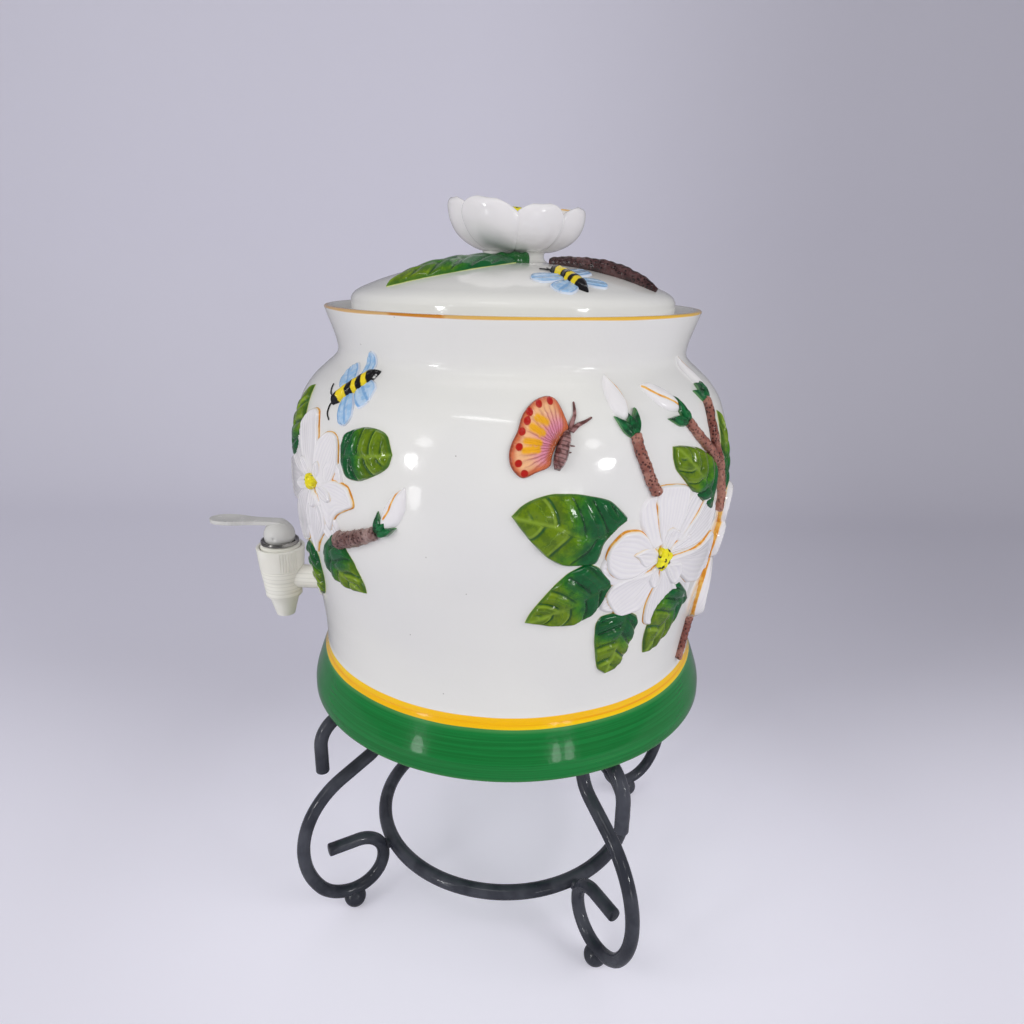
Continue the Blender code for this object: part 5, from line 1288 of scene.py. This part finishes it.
# %% The lid
LID_RADII = (0, 18, 36, 53, 66, 76.5, 84, 89.8, 93.2, 94.4)
LID_HEIGHTS = (420.7, 420.7, 419.4, 416.8, 413.9, 410.7, 407.8, 405.2, 402.6, 400.4)
LID_LEAF = (
    (21, 4), (60.2, -61.6), (3, 7, 11.5, 14.5, 15.4, 14, 10, 5, 0), (3, 7, 11, 13, 13.4, 12, 8.6, 4.4, 0),
    (0, 1.2, 2.2, 2.6, 2.4, 1.8, 1, 0.4, 0), 5.0,
)
lid_dome = smooth_reader(LID_RADII, LID_HEIGHTS)


def on_lid(x, y, lift):
    return np.stack([x, y, lid_dome(np.hypot(x, y)) + lift], -1)


def lid_profile():
    under = [(0, 414.4), (40, 412.8), (60, 408.6), (74, 403.4), (79.4, 399), (80.5, 392), (80.5, 381.2)]
    flange = [(81.2, 380.7), (85.4, 380.7), (86.3, 381.4), (86.5, 389.8), (87.2, 390.7)]
    flange += [(93.4, 390.7), (94.4, 391.6), (94.5, 395)]
    radii = np.linspace(94.4, 20, 70)
    dome = [(94.5, 399.4)] + list(zip(radii, lid_dome(radii)))
    neck = [(19.4, 421.0), (18.2, 421.8), (17.4, 423.4), (17.6, 425.4), (18.6, 426.7), (0, 426.7)]
    return under + flange + dome + neck


clay = Clay()
points, faces = turn(lid_profile(), 224)
clay.add(points, faces, rim=np.zeros(len(points)))
clay.piece("lid_glazed", WHITE_GLAZE, "cover", ("lid",), crease=40)

# %% [markdown]
# The lid's leaf, bee and twig are made as those on the wall are. Only the function that bends the
# sheet is another one, so they follow the dome in place of the wall.

# %% The lid's sprigs
clay = Clay()
leaf(clay, *LID_LEAF, thick=2.2, crown=3.2, skin=on_lid, ripe=0.74)
line = flow([(20.6, 9.4), (22.6, 4), (24, -3), (24.6, -10)], 40)
share = np.linspace(0, 1, 40)
radii = (4.6 - 0.9 * share) * (1 + 0.1 * np.cos(share * 17))
radii = radii * soft(share, -0.25, 0.1) * soft(1 - share, -0.3, 0.12)
points, faces = rod(on_lid(line[:, 0], line[:, 1], 1.2 + 0 * share), radii, 20)
clay.add(points, faces, edge=np.full(len(points), 3.0), vein=np.full(len(points), 4.0))
clay.piece("lid_leaf_sprig", LEAF_GLAZE, "cover", ("lid_leaf",))
make_bee(
    "lid_bee_body", "lid_bee", np.array((49.2, 24.8)), np.array((74.8, 43.4)), "cover", on_lid,
    [[(49, 25), (46, 22.4), (43.4, 21.4)], [(49.4, 24.4), (47.6, 20.6), (47.4, 17.6)]],
)
clay = Clay()
line = flow([(18.6, 22), (22.4, 34), (26.4, 50), (30.4, 65), (34.4, 80.6)], 70)
share = np.linspace(0, 1, 70)
radii = smooth_reader((0, 0.04, 0.3, 0.6, 0.9, 1), (2.2, 2.9, 3.5, 4.3, 3.2, 1.4))(share)
radii = radii * (1 + 0.08 * np.sin(share * 60) * np.sin(share * 23))
lift = 0.8 + 2.0 * np.sin(math.pi * share)
clay.add(*rod(on_lid(line[:, 0], line[:, 1], lift), radii, 18))
clay.piece("lid_twig_bark", LID_TWIG_GLAZE, "cover", ("lid_twig",))

# %% [markdown]
# The knob is a full-blown flower of seven thick petals that stand side by side like a cup. Each is
# a curved sheet that bulges outwards and is given a thickness that rounds off at its border. Each
# has its own width, height and slant, because no two petals of a pressed flower are alike.

# %% The flower knob
KNOB_SHARES = (0, 0.15, 0.35, 0.55, 0.75, 0.9, 1)
KNOB_OUT = smooth_reader(KNOB_SHARES, (11, 21, 30.5, 36.4, 39, 39.6, 38.8))
KNOB_UP = smooth_reader(KNOB_SHARES, (427.6, 428.6, 432.4, 438, 444.4, 449.4, 452.6))
KNOB_WIDE = smooth_reader((0, 0.2, 0.45, 0.7, 0.9, 1), (0.84, 0.92, 1.0, 1.02, 0.96, 0.86))
NO_EDGE = 9.0
KNOB_PETALS = (
    (-17, 27, 0.6, 0.1, -2.4), (27, 24, -0.4, -2.7, 0.6), (78, 30, -0.4, -3.2, -0.8),
    (136, 31, -0.4, -0.8, 1.0), (192, 31, 0.6, -0.4, -1.0), (244, 29, -2.6, -0.2, 0.8),
    (298, 27, -2.4, 1.6, -0.4),
)


def knob_petal(clay, degrees, half, out, up, slant):
    """A cupped petal: its direction, half its width in degrees, how far out, how tall, how slanted."""
    rows, columns = 40, 32
    t = np.linspace(0, 1, rows + 1)
    s = (0.5 * t + 0.5 * (1 - np.cos(math.pi * t)) / 2)[:, None]
    u = np.sin(np.linspace(-1, 1, columns + 1) * math.pi / 2)[None, :]
    shut = (1 - np.clip((s - 0.7) / 0.3, 0, 1) ** 2.3) ** (1 / 2.3)
    shut = np.maximum(shut, 0.02)
    angle = math.radians(degrees) + np.radians(half * KNOB_WIDE(s) * shut) * u
    radius = KNOB_OUT(s) + out - 2.6 * (u * shut) ** 2 * soft(s, 0.1, 0.5)
    height = KNOB_UP(s) + (up + slant * u * shut) * s
    middle = np.stack([radius * np.cos(angle), radius * np.sin(angle), height + 0 * angle], -1)
    normal = np.cross(np.gradient(middle, axis=1), np.gradient(middle, axis=0))
    normal /= np.linalg.norm(normal, axis=2)[:, :, None] + 1e-9
    near = np.minimum((1 - np.abs(u)) * 20 * shut + 0 * s, (1 - s) * 42 + 0 * u)
    thick = 1.8 * np.sqrt(1 - (1 - np.clip(near / 3.4, 0, 1)) ** 2) + 0.05
    outer = middle + normal * thick[:, :, None]
    inner = middle - normal * thick[:, :, None]
    edge = np.concatenate([np.full(near.size, NO_EDGE), near.ravel()])
    inside = np.concatenate([np.zeros(near.size), np.full(near.size, 0.8)])
    points = np.concatenate([outer.reshape(-1, 3), inner.reshape(-1, 3)])
    clay.add(points, slab_faces(*near.shape), edge=edge, gold=inside)


clay = Clay()
for numbers in KNOB_PETALS:
    knob_petal(clay, *numbers)
points, faces = turn([(0, 427.1), (20, 427.1), (23, 429), (24, 433), (20, 437), (0, 438)], 64)
clay.add(points, faces, edge=np.full(len(points), NO_EDGE))
clay.piece("knob_petals", PETAL_GLAZE, "cover", ("lid_flower_knob",))
clay = Clay()
clay.add(*turn([(0, 434), (9, 434), (11, 440), (10.4, 445.4), (7.6, 449), (3.6, 450.6), (0, 451)], 48))
clay.piece("knob_heart", HEART_YELLOW, "cover")

# %% [markdown]
# The stand is bent from 8 mm round rod. Each leg is one line of arcs in an upright plane: hook,
# arch, long back, toe and curl. The enamel is black and glossy over slightly uneven iron.

# %% Black iron
def black_iron():
    paint = glaze("black_enamel", "black_iron", 0.4, 0.12)
    drift = paint.noise(45, detail=3.0)
    colour = paint.mix(paint.ramp(drift, 0.35, 0.65), srgb(50, 52, 60), srgb(72, 74, 82))
    worn = paint.ramp(paint.noise(240, detail=4.0, rough=0.7), 0.66, 0.74, 0, 0.35)
    colour = paint.mix(worn, colour, srgb(92, 94, 100))
    relief = paint.bump(paint.noise(330, detail=2.0), 0.00012, before=paint.bump(drift, 0.0006))
    return paint.use(colour, paint.ramp(drift, 0.3, 0.7, 0.1, 0.18), relief)


BLACK_IRON = black_iron()

# %% [markdown]
# A smith bends a leg round a few pegs, so its line is a chain of arcs and straights. Each goes on
# from the last one's end and heading, both ways from the toe, which keeps all the joins smooth.

# %% The line of a leg
LEG_AZIMUTHS = (35, 125, 215, 305)
LEG_ROD = 4.2
RING_ROD = 4.7
TOE = (117.4, 13.25)
BALL = 7.25
BALL_UP = 6.85
WELD_WIDE = 3.6
WELD_TALL = 3.9


def arc(place, heading, radius, sweep):
    """Points every few degrees along an arc, then its last heading."""
    side = math.copysign(1, sweep)
    start = math.radians(heading)
    centre = (place[0] - side * radius * math.sin(start), place[1] + side * radius * math.cos(start))
    count = max(4, round(abs(sweep) / 4))
    turns = [start + math.radians(sweep) * k / count for k in range(1, count + 1)]
    points = [(centre[0] + side * radius * math.sin(t), centre[1] - side * radius * math.cos(t)) for t in turns]
    return points, heading + sweep


def straight(place, heading, length):
    turned = math.radians(heading)
    steps = np.linspace(0, 1, 5)[1:]
    return [(place[0] + length * k * math.cos(turned), place[1] + length * k * math.sin(turned)) for k in steps]


def scroll_line():
    outer, heading = arc(TOE, 0, 27, 57)
    back, heading = arc(outer[-1], heading, 56, 93)
    outer += back
    outer += straight(outer[-1], heading, 21)
    arch, heading = arc(outer[-1], heading, 20, -(heading + 90))
    outer += arch
    outer += straight(outer[-1], heading, 18)
    inner, heading = arc(TOE, 180, 21.5, -97)
    tip, heading = arc(inner[-1], heading, 17, -heading)
    inner += tip
    inner += straight(inner[-1], heading, 20)
    return outer[::-1] + [TOE] + inner

# %% Legs and balls
def around(radius, azimuth):
    """Where a place at this radius lies in plan."""
    turned = math.radians(azimuth)
    return radius * math.cos(turned), radius * math.sin(turned)


def half_oval(wide, tall, middle, steps):
    """An outline of (radius, height) from its foot on the axis round to its top."""
    line = [(wide * math.sin(t), middle - tall * math.cos(t)) for t in np.linspace(0, math.pi, steps)]
    return [(0, line[0][1])] + line[1:-1] + [(0, line[-1][1])]


SCROLL = scroll_line()
for number, azimuth in enumerate(LEG_AZIMUTHS, 1):
    path = [(*around(radius, azimuth), height) for radius, height in SCROLL]
    clay = Clay()
    clay.add(*rod(*round_ends(path, LEG_ROD), 22))
    clay.piece(f"leg_rod_{number}", BLACK_IRON, "stand", (f"leg_{number}",))
    clay = Clay()
    ball = [(radius, max(0.0, height)) for radius, height in half_oval(BALL, BALL, BALL_UP, 26)]
    clay.add(*turn(ball, 40, around(TOE[0], azimuth)))
    clay.piece(f"ball_{number}", BLACK_IRON, "stand", (f"ball_foot_{number}",))

# %% [markdown]
# Two hoops tie the legs together: one inside the curls, one under the pot. A bead of weld covers
# each joint, as a small rounded lump between rod and ring.

# %% Rings and welds
def hoop(radius, height, thick, steps=144, sides=22):
    """A round rod bent into a ring."""
    turns = np.arange(steps) * math.tau / steps
    round_ = np.arange(sides) * math.tau / sides
    a, b = np.meshgrid(turns, round_, indexing="ij")
    out = radius + thick * np.cos(b)
    points = np.stack([out * np.cos(a), out * np.sin(a), height + thick * np.sin(b)], -1).reshape(-1, 3)
    at = np.arange(steps * sides).reshape(steps, sides)
    faces = np.stack([at, np.roll(at, -1, 0), np.roll(np.roll(at, -1, 0), -1, 1), np.roll(at, -1, 1)], -1)
    return points, faces.reshape(-1, 4).tolist()


LOWER_RING = (88.09, 41.49)
UPPER_RING = (84.29, 132.36)
WELDS = ((92.4, 40.6), (88.8, 132.36))
for name, place, (weld_out, weld_up) in zip(("lower_ring", "upper_ring"), (LOWER_RING, UPPER_RING), WELDS):
    clay = Clay()
    clay.add(*hoop(*place, RING_ROD))
    for azimuth in LEG_AZIMUTHS:
        clay.add(*turn(half_oval(WELD_WIDE, WELD_TALL, weld_up, 15), 20, around(weld_out, azimuth)))
    clay.piece(name + "_rod", BLACK_IRON, "stand", (name,))

# %% [markdown]
# The tap is moulded plastic, a little creamier than the pot. The barrel steps in towards the spout,
# with fine grooves round it and upright ribs near the shank for grip. The lever is a separate,
# greyer moulding with a domed hub and a dished paddle.

# %% Plastic, steel and silicone
LINES_LOW = 0.2
LINES_HIGH = 0.2196
LINES_GREY = srgb(196, 194, 182)


def moulded(name, slot, first, second, rough=0.32, turned=0.0):
    """Plastic with a fine grain, scuffs and, on the barrel, faint turning lines with painted shade in their
    grooves.
    """
    paint = Paint(name, slot, IOR=1.46, Coat_Weight=0.1, Coat_Roughness=0.2)
    drift = paint.noise(60, detail=2.0)
    colour = paint.mix(paint.ramp(drift, 0.3, 0.7), first, second)
    grain = paint.noise(900, detail=2.0)
    scuffs = paint.noise(150, (1, 1, 0.2), 4.0, 0.7)
    wear = paint.ramp(scuffs, 0.55, 0.75, rough, rough + 0.16)
    relief = paint.bump(grain, 0.00003, before=paint.bump(drift, 0.0003))
    if turned:
        rise = paint.axis("Z")
        lines = paint.ramp(paint.wave(paint.times(rise, math.tau / turned)), 0.6, 1.0)
        below = paint.ramp(rise, LINES_HIGH, LINES_HIGH - 0.0008)
        low = paint.times(lines, below, paint.ramp(rise, LINES_LOW, LINES_LOW + 0.0006))
        # Grey in the sunk turning lines: painted shade in the grooves.
        colour = paint.mix(paint.times(low, 0.35), colour, LINES_GREY)
        relief = paint.bump(low, 0.0003, -1.0, before=relief)
    return paint.use(colour, wear, relief)


def bright_steel():
    paint = Paint("bright_steel", "steel", Metallic=1.0)
    turned_marks = paint.noise(90, (1, 1, 30), 3.0, 0.6)
    colour = paint.mix(turned_marks, srgb(128, 126, 124), srgb(190, 188, 184))
    return paint.use(colour, paint.ramp(turned_marks, 0.3, 0.7, 0.16, 0.32), paint.bump(turned_marks, 0.00004))


TAP_PLASTIC = moulded("tap_cream", "tap_plastic", srgb(238, 236, 225), srgb(243, 241, 231), turned=0.0029)
LEVER_PLASTIC = moulded("lever_grey", "lever_plastic", srgb(204, 203, 199), srgb(214, 213, 209), 0.24)
SILICONE = moulded("silicone_milky", "silicone", srgb(226, 226, 222), srgb(218, 218, 214), 0.5)
STEEL = bright_steel()

# %% The tap's body
TAP_AXIS = (0, -156.5)
TAP_Z = 213.66
BARREL = (
    (0, 186.6), (4.2, 186.6), (4.2, 184.7), (5.4, 184.66), (6.3, 185.2), (7.4, 189.4), (8.7, 194), (9.9, 198.6),
    (10.4, 199.4), (11.8, 199.7), (12.2, 200.2), (12.35, 203.4), (12.1, 203.8), (12.1, 204.4), (12.6, 204.8),
    (13.2, 210.4), (12.9, 210.9), (12.9, 211.5), (13.5, 212.0), (14.4, 218.4), (14.1, 219.0), (14.1, 219.6),
    (14.7, 220.1), (14.85, 221.4), (15.9, 233.2), (16.0, 234.2), (16.1, 235.0),
    (15.8, 235.5), (15.2, 235.66), (14.3, 235.6), (13.7, 235.0), (13.6, 231), (0, 231),
)
RIBS = 54
RIB_SHARE = 0.03
RIBS_LOW = 220.3
RIBS_HIGH = 234.0
clay = Clay()
points, faces = turn(BARREL, 432, TAP_AXIS)
turned = np.arctan2(points[:, 1] - TAP_AXIS[1], points[:, 0])
toward = np.abs((turned - math.pi / 2 + math.pi) % math.tau - math.pi)
radius = np.hypot(points[:, 0], points[:, 1] - TAP_AXIS[1])
ribbed = soft(points[:, 2], RIBS_LOW, RIBS_LOW + 1.0) * soft(RIBS_HIGH - points[:, 2], 0, 0.7)
ribbed = ribbed * soft(radius, 13.9, 14.3)
beside = soft(toward, 0.4, 0.5) * soft(1.3 - toward, 0, 0.1)
grow = 1 - RIB_SHARE * soft(np.cos(turned * RIBS), 0.1, 0.7) * ribbed * beside
points[:, 0] *= grow
points[:, 1] = TAP_AXIS[1] + (points[:, 1] - TAP_AXIS[1]) * grow
clay.add(points, faces)

# %% [markdown]
# The shank goes through the wall at a right angle to the barrel, so it is the same kind of turned
# shape, laid on its side. The bonnet closes the barrel, and a bright ring lies on top of it.

# %% Shank, bonnet and wear ring
def along_y(profile, steps):
    """A turned solid laid along Y at the tap's height, from (radius, place on Y) pairs."""
    points, faces = turn(profile, steps)
    return np.stack([points[:, 0], points[:, 2], TAP_Z + points[:, 1]], -1), [face[::-1] for face in faces]


SHANK = (
    (0, -146), (8, -146), (8, -128.3), (8.4, -127.8), (12, -127.7), (12.5, -127.3), (12.5, -125.9),
    (12, -125.5), (8, -125.4), (8, -97.4), (7.2, -96.5), (0, -96.5),
)
BONNET = (
    (2.5, 229), (13.2, 229), (13.2, 235.4), (12.8, 236.2), (11.9, 237.1), (11.4, 237.26), (2.6, 237.26),
    (2.5, 237.1), (2.5, 229),
)
COLLAR = (
    (5.4, 237.6), (12.2, 237.6), (12.6, 238), (12.6, 239.7), (12.3, 240.1), (11.7, 240.1), (11.4, 239.8),
    (11.4, 238.9), (11.2, 238.76), (5.5, 238.76), (5.4, 238.6), (5.4, 237.6),
)
clay.add(*along_y(SHANK, 64))
clay.piece("tap_moulding", TAP_PLASTIC, "pot", ("tap_body",), crease=38)
for name, node, outline, finish in (
    ("bonnet_moulding", "bonnet", BONNET, TAP_PLASTIC), ("wear_collar", "wear_ring", COLLAR, STEEL),
):
    clay = Clay()
    clay.add(*turn(outline, 96, TAP_AXIS))
    clay.piece(name, finish, "pot", (node,), crease=38)
for node, finish in (
    ("outer_washer", SILICONE), ("inner_washer", SILICONE), ("seat_cup", SILICONE), ("back_nut", TAP_PLASTIC),
    ("stem", TAP_PLASTIC), ("lever_pin", STEEL), ("return_spring", STEEL), ("lever", LEVER_PLASTIC),
):
    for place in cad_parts[node].material_slots:
        place.material = finish

# %% [markdown]
# The lever's working parts, its cam heel and the slot for the stem, stay as the CAD made them. A
# smooth cap goes over its faceted dome and arm, inside the same space plus a hair.

# %% The lever's skin
PIN_Z = 243.26
HUB = 10.2
SKIN = 0.13
ARM_REACH = 47
ARM_THICK = 2.6
ARM_AT = (0, 0.3, 0.44, 0.55, 0.65, 0.78, 0.88, 0.95, 0.985, 1)
ARM_HALF = (4.9, 4.8, 5.7, 7.1, 8.1, 8.2, 7.3, 5.5, 3.5, 2.0)
ARM_DISH = (0, 0, 0, 0.4, 0.8, 0.8, 0.64, 0.24, 0, 0)
SWING = math.radians(30)
HEEL_DROP = 4.2
HEEL_GAP = 0.2
STEM_RISE = 3.0
DOME_LOW = 4.0
DOME_THICK = 0.4
DIMPLE_DEPTH = 0.9
DIMPLE_HALF = 1.15
CORNER = 0.24


def heel(y):
    """How high the heel that rolls on the ring lies, measured from the pin."""
    rate = STEM_RISE / SWING
    turned = np.linspace(SWING, 0, 16)
    reach = HEEL_DROP + rate * turned
    at = -reach * np.sin(turned) - rate * np.cos(turned)
    low = -reach * np.cos(turned) + rate * np.sin(turned)
    return np.interp(y, at, low) + math.tan(SWING) * np.clip(at[0] - y, 0, None)

# %% The lever's dome
def lever_dome():
    """The hub's dome down to the ring, with the dimple that the pin leaves on either side."""
    drops = np.linspace(0, 1, 60)[1:]
    angles = drops * math.acos(-DOME_LOW / HUB)
    outer = HUB + SKIN
    inner = HUB - DOME_THICK
    outside = [(outer * math.sin(t), outer * math.cos(t)) for t in angles]
    inside = [(inner * math.sin(t), inner * math.cos(t)) for t in angles[::-1]]
    points, faces = turn([(0, outer)] + outside + inside + [(0, inner)], 200)
    out = np.maximum(np.hypot(points[:, 0], points[:, 1]), 1e-9)
    end = np.full(len(points), angles[-1])
    for _ in range(12):
        end = np.arccos((heel(HUB * np.sin(end) * points[:, 1] / out) + HEEL_GAP) / HUB)
    fall = np.arctan2(out, points[:, 2]) * end / angles[-1]
    far = np.hypot(out, points[:, 2])
    level = far * np.sin(fall) / out
    points = np.stack([level * points[:, 0], level * points[:, 1], far * np.cos(fall)], -1)
    beside = np.abs(points[:, 0]) > 8
    dimple = DIMPLE_DEPTH * hump(np.hypot(points[:, 1], points[:, 2]), DIMPLE_HALF) * beside
    points[:, 0] -= np.sign(points[:, 0]) * dimple
    return points + np.array((*TAP_AXIS, PIN_Z)), faces[::-1]

# %% The lever's arm
def lever_arm():
    """The arm: a flat bar that runs over the dome and spreads into a dished paddle."""
    stations = np.concatenate([np.linspace(-0.13, 0.9, 60), np.linspace(0.9, 1.002, 26)[1:]])
    half = smooth_reader(ARM_AT, ARM_HALF)(np.clip(stations, 0, 1)) + SKIN
    half[:6] *= np.sqrt(np.linspace(0.4, 1, 6))
    dish = smooth_reader(ARM_AT, ARM_DISH)(np.clip(stations, 0, 1))
    turns = np.arange(48) * math.tau / 48
    wide = np.sign(np.cos(turns)) * np.abs(np.cos(turns)) ** CORNER
    tall = np.sign(np.sin(turns)) * np.abs(np.sin(turns)) ** CORNER
    rings = []
    for at, reach, depth in zip(stations, half, dish):
        drop = depth * (1 - wide**2) * np.where(tall > 0, 1, 0.5)
        level = HUB - ARM_THICK / 2 + tall * (ARM_THICK / 2 + SKIN) - drop - 2.2 * soft(-at, 0.0, 0.16)
        rings.append(np.stack([reach * wide, np.full(48, -ARM_REACH * at), level], -1))
    points, faces = tube(rings, rings[0].mean(axis=0), rings[-1].mean(axis=0))
    return points + np.array((*TAP_AXIS, PIN_Z)), faces


clay = Clay()
clay.add(*lever_dome())
clay.add(*lever_arm())
clay.piece("lever_skin", LEVER_PLASTIC, "handle", crease=50)

# %% [markdown]
# Floor and backdrop are one sheet of pale card that curves up behind the pot, so no line crosses
# the picture. Its colour darkens further back and towards one side, which is painted shade. For the
# camera the floor near the pot glows a little, a painted pool of light, and in the glaze's reflections
# the card is darker, because a studio's card is lit unevenly and this one is lit evenly.

# %% Floor and backdrop
CARD_NEAR = (srgb(228, 226, 237), srgb(232, 230, 241))
CARD_FAR = (srgb(196, 194, 206), srgb(225, 223, 236))
CARD_MIRRORED = srgb(150, 149, 156)
CARD_GLOW = srgb(238, 236, 248)
CARD_ROUGH = 0.7
CARD_HALF = 2.6
CARD_FRONT = -2.2
BEND_AT = 0.75
BEND = 0.5
CARD_TOP = 2.4


def card():
    paint = Paint("backdrop_card", "", Roughness=CARD_ROUGH)
    away = paint.axis("X")
    near = paint.mix(paint.ramp(paint.noise(1.2, detail=2.0), 0.3, 0.7), *CARD_NEAR)
    # Darker further back and towards one side: painted shade.
    far = paint.mix(paint.ramp(paint.axis("Y"), -0.75, 0.15), *CARD_FAR)
    colour = paint.mix(paint.ramp(away, -0.15, 0.45), near, far)
    rays = paint.add("ShaderNodeLightPath")
    colour = paint.mix(rays.outputs["Is Glossy Ray"], colour, CARD_MIRRORED)
    # A camera-only glow on the floor near and under the pot: a painted pool of light.
    reach = paint.add("ShaderNodeVectorMath", paint.place(), operation="LENGTH").outputs["Value"]
    glow = paint.sum(paint.ramp(away, 0.3, 0.0, 0.0, 0.1), paint.ramp(reach, 0.34, 0.1, 0.0, 0.17))
    paint.feed(paint.shader.inputs["Emission Color"], CARD_GLOW)
    paint.feed(paint.shader.inputs["Emission Strength"], paint.times(rays.outputs["Is Camera Ray"], glow))
    return paint.use(colour, CARD_ROUGH)


def backdrop():
    away = [(CARD_FRONT, 0.0)] + [(d, 0.0) for d in np.linspace(-1.6, BEND_AT, 12)]
    bend = np.linspace(0.1, math.pi / 2, 16)
    away += [(BEND_AT + BEND * math.sin(t), BEND - BEND * math.cos(t)) for t in bend]
    away += [(BEND_AT + BEND, 1.2), (BEND_AT + BEND, CARD_TOP)]
    points = [(d, side, z) for d, z in away for side in (-CARD_HALF, CARD_HALF)]
    faces = [(2 * k, 2 * k + 1, 2 * k + 3, 2 * k + 2) for k in range(len(away) - 1)]
    mesh = bpy.data.meshes.new("backdrop")
    mesh.from_pydata(points, [], faces)
    mesh.shade_smooth()
    mesh.materials.append(card())
    sheet = bpy.data.objects.new("backdrop", mesh)
    sheet.rotation_euler = (0, 0, LOOK_FROM + math.pi / 2)
    bpy.context.collection.objects.link(sheet)
    print("backdrop", len(faces), "strips")
    return sheet


backdrop()

# %% [markdown]
# Two wide soft boxes light the pot from both sides and don't show in reflections. Small round
# ones leave the highlights on the glaze: two low, two high and three for the skirt. A long narrow
# one above the camera draws the streak on the lid.

# %% Lights
def softbox(name, at, to, size, power, shape="ELLIPSE"):
    lamp = bpy.data.lights.new(name, "AREA")
    lamp.shape = shape
    lamp.size, lamp.size_y = size
    lamp.energy = power
    thing = bpy.data.objects.new(name, lamp)
    bpy.context.collection.objects.link(thing)
    thing.location = at
    thing.rotation_euler = (Vector(to) - Vector(at)).to_track_quat("-Z", "Y").to_euler()
    print("lamp", name, power)
    return thing


def from_camera(right, back, up):
    """A place given by how far right of the pot, towards the camera and up it is."""
    return Matrix.Rotation(LOOK_FROM, 3, "Z") @ Vector((right, -back, up))


SMALL_BOXES = (
    ("low_left", (-1.08, 1.0, 0.46), (0.16, 0.15), 1.0), ("low_right", (1.07, 1.05, 0.47), (0.22, 0.13), 1.1),
    ("high_left", (-0.95, 1.03, 0.8), (0.2, 0.2), 0.3), ("high_right", (0.9, 1.05, 0.84), (0.2, 0.2), 0.25),
    ("foot_left", (-1.03, 1.05, 0.11), (0.16, 0.16), 0.22),
    ("foot_right", (0.62, 1.33, 0.17), (0.11, 0.17), 0.14),
    ("foot_far", (0.76, 1.24, 0.17), (0.12, 0.16), 0.11),
    ("streak", (-0.27, 0.8, 1.55), (0.7, 0.08), 0.6),
)
WIDE_BOXES = (("wide_left", (-1.35, 0.85, 0.92), 10.0), ("wide_right", (1.35, 0.78, 0.9), 10.4))
WIDE_SIZE = (1.0, 0.8)
BELLY = (0, 0, 0.3)
SKIRT = (0, 0, 0.15)
for name, place, size, power in SMALL_BOXES:
    softbox(name, from_camera(*place), BELLY, size, power)
for name, place, power in WIDE_BOXES:
    wide = softbox(name, from_camera(*place), SKIRT, WIDE_SIZE, power, "RECTANGLE")
    wide.visible_glossy = False

# %% [markdown]
# Beyond the lamps there is an even, pale room. It fills the shadows, and is what a glaze mirrors
# where it mirrors no lamp.

# %% The room
ROOM_WHITE = srgb(244, 244, 246)
ROOM_LIGHT = 0.45
ROOM_MIRRORED = 0.2


def room():
    """An even pale room. It looks darker in reflections, as a studio does beyond its lamps."""
    world = bpy.data.worlds.new("room")
    bpy.context.scene.world = world
    world.use_nodes = True
    nodes = world.node_tree.nodes
    rays = nodes.new("ShaderNodeLightPath")
    level = nodes.new("ShaderNodeMapRange")
    level.inputs["To Min"].default_value = ROOM_LIGHT
    level.inputs["To Max"].default_value = ROOM_MIRRORED
    world.node_tree.links.new(rays.outputs["Is Glossy Ray"], level.inputs["Value"])
    world.node_tree.links.new(level.outputs[0], nodes["Background"].inputs[1])
    nodes["Background"].inputs[0].default_value = ROOM_WHITE


room()
bpy.context.scene.view_settings.view_transform = "Standard"
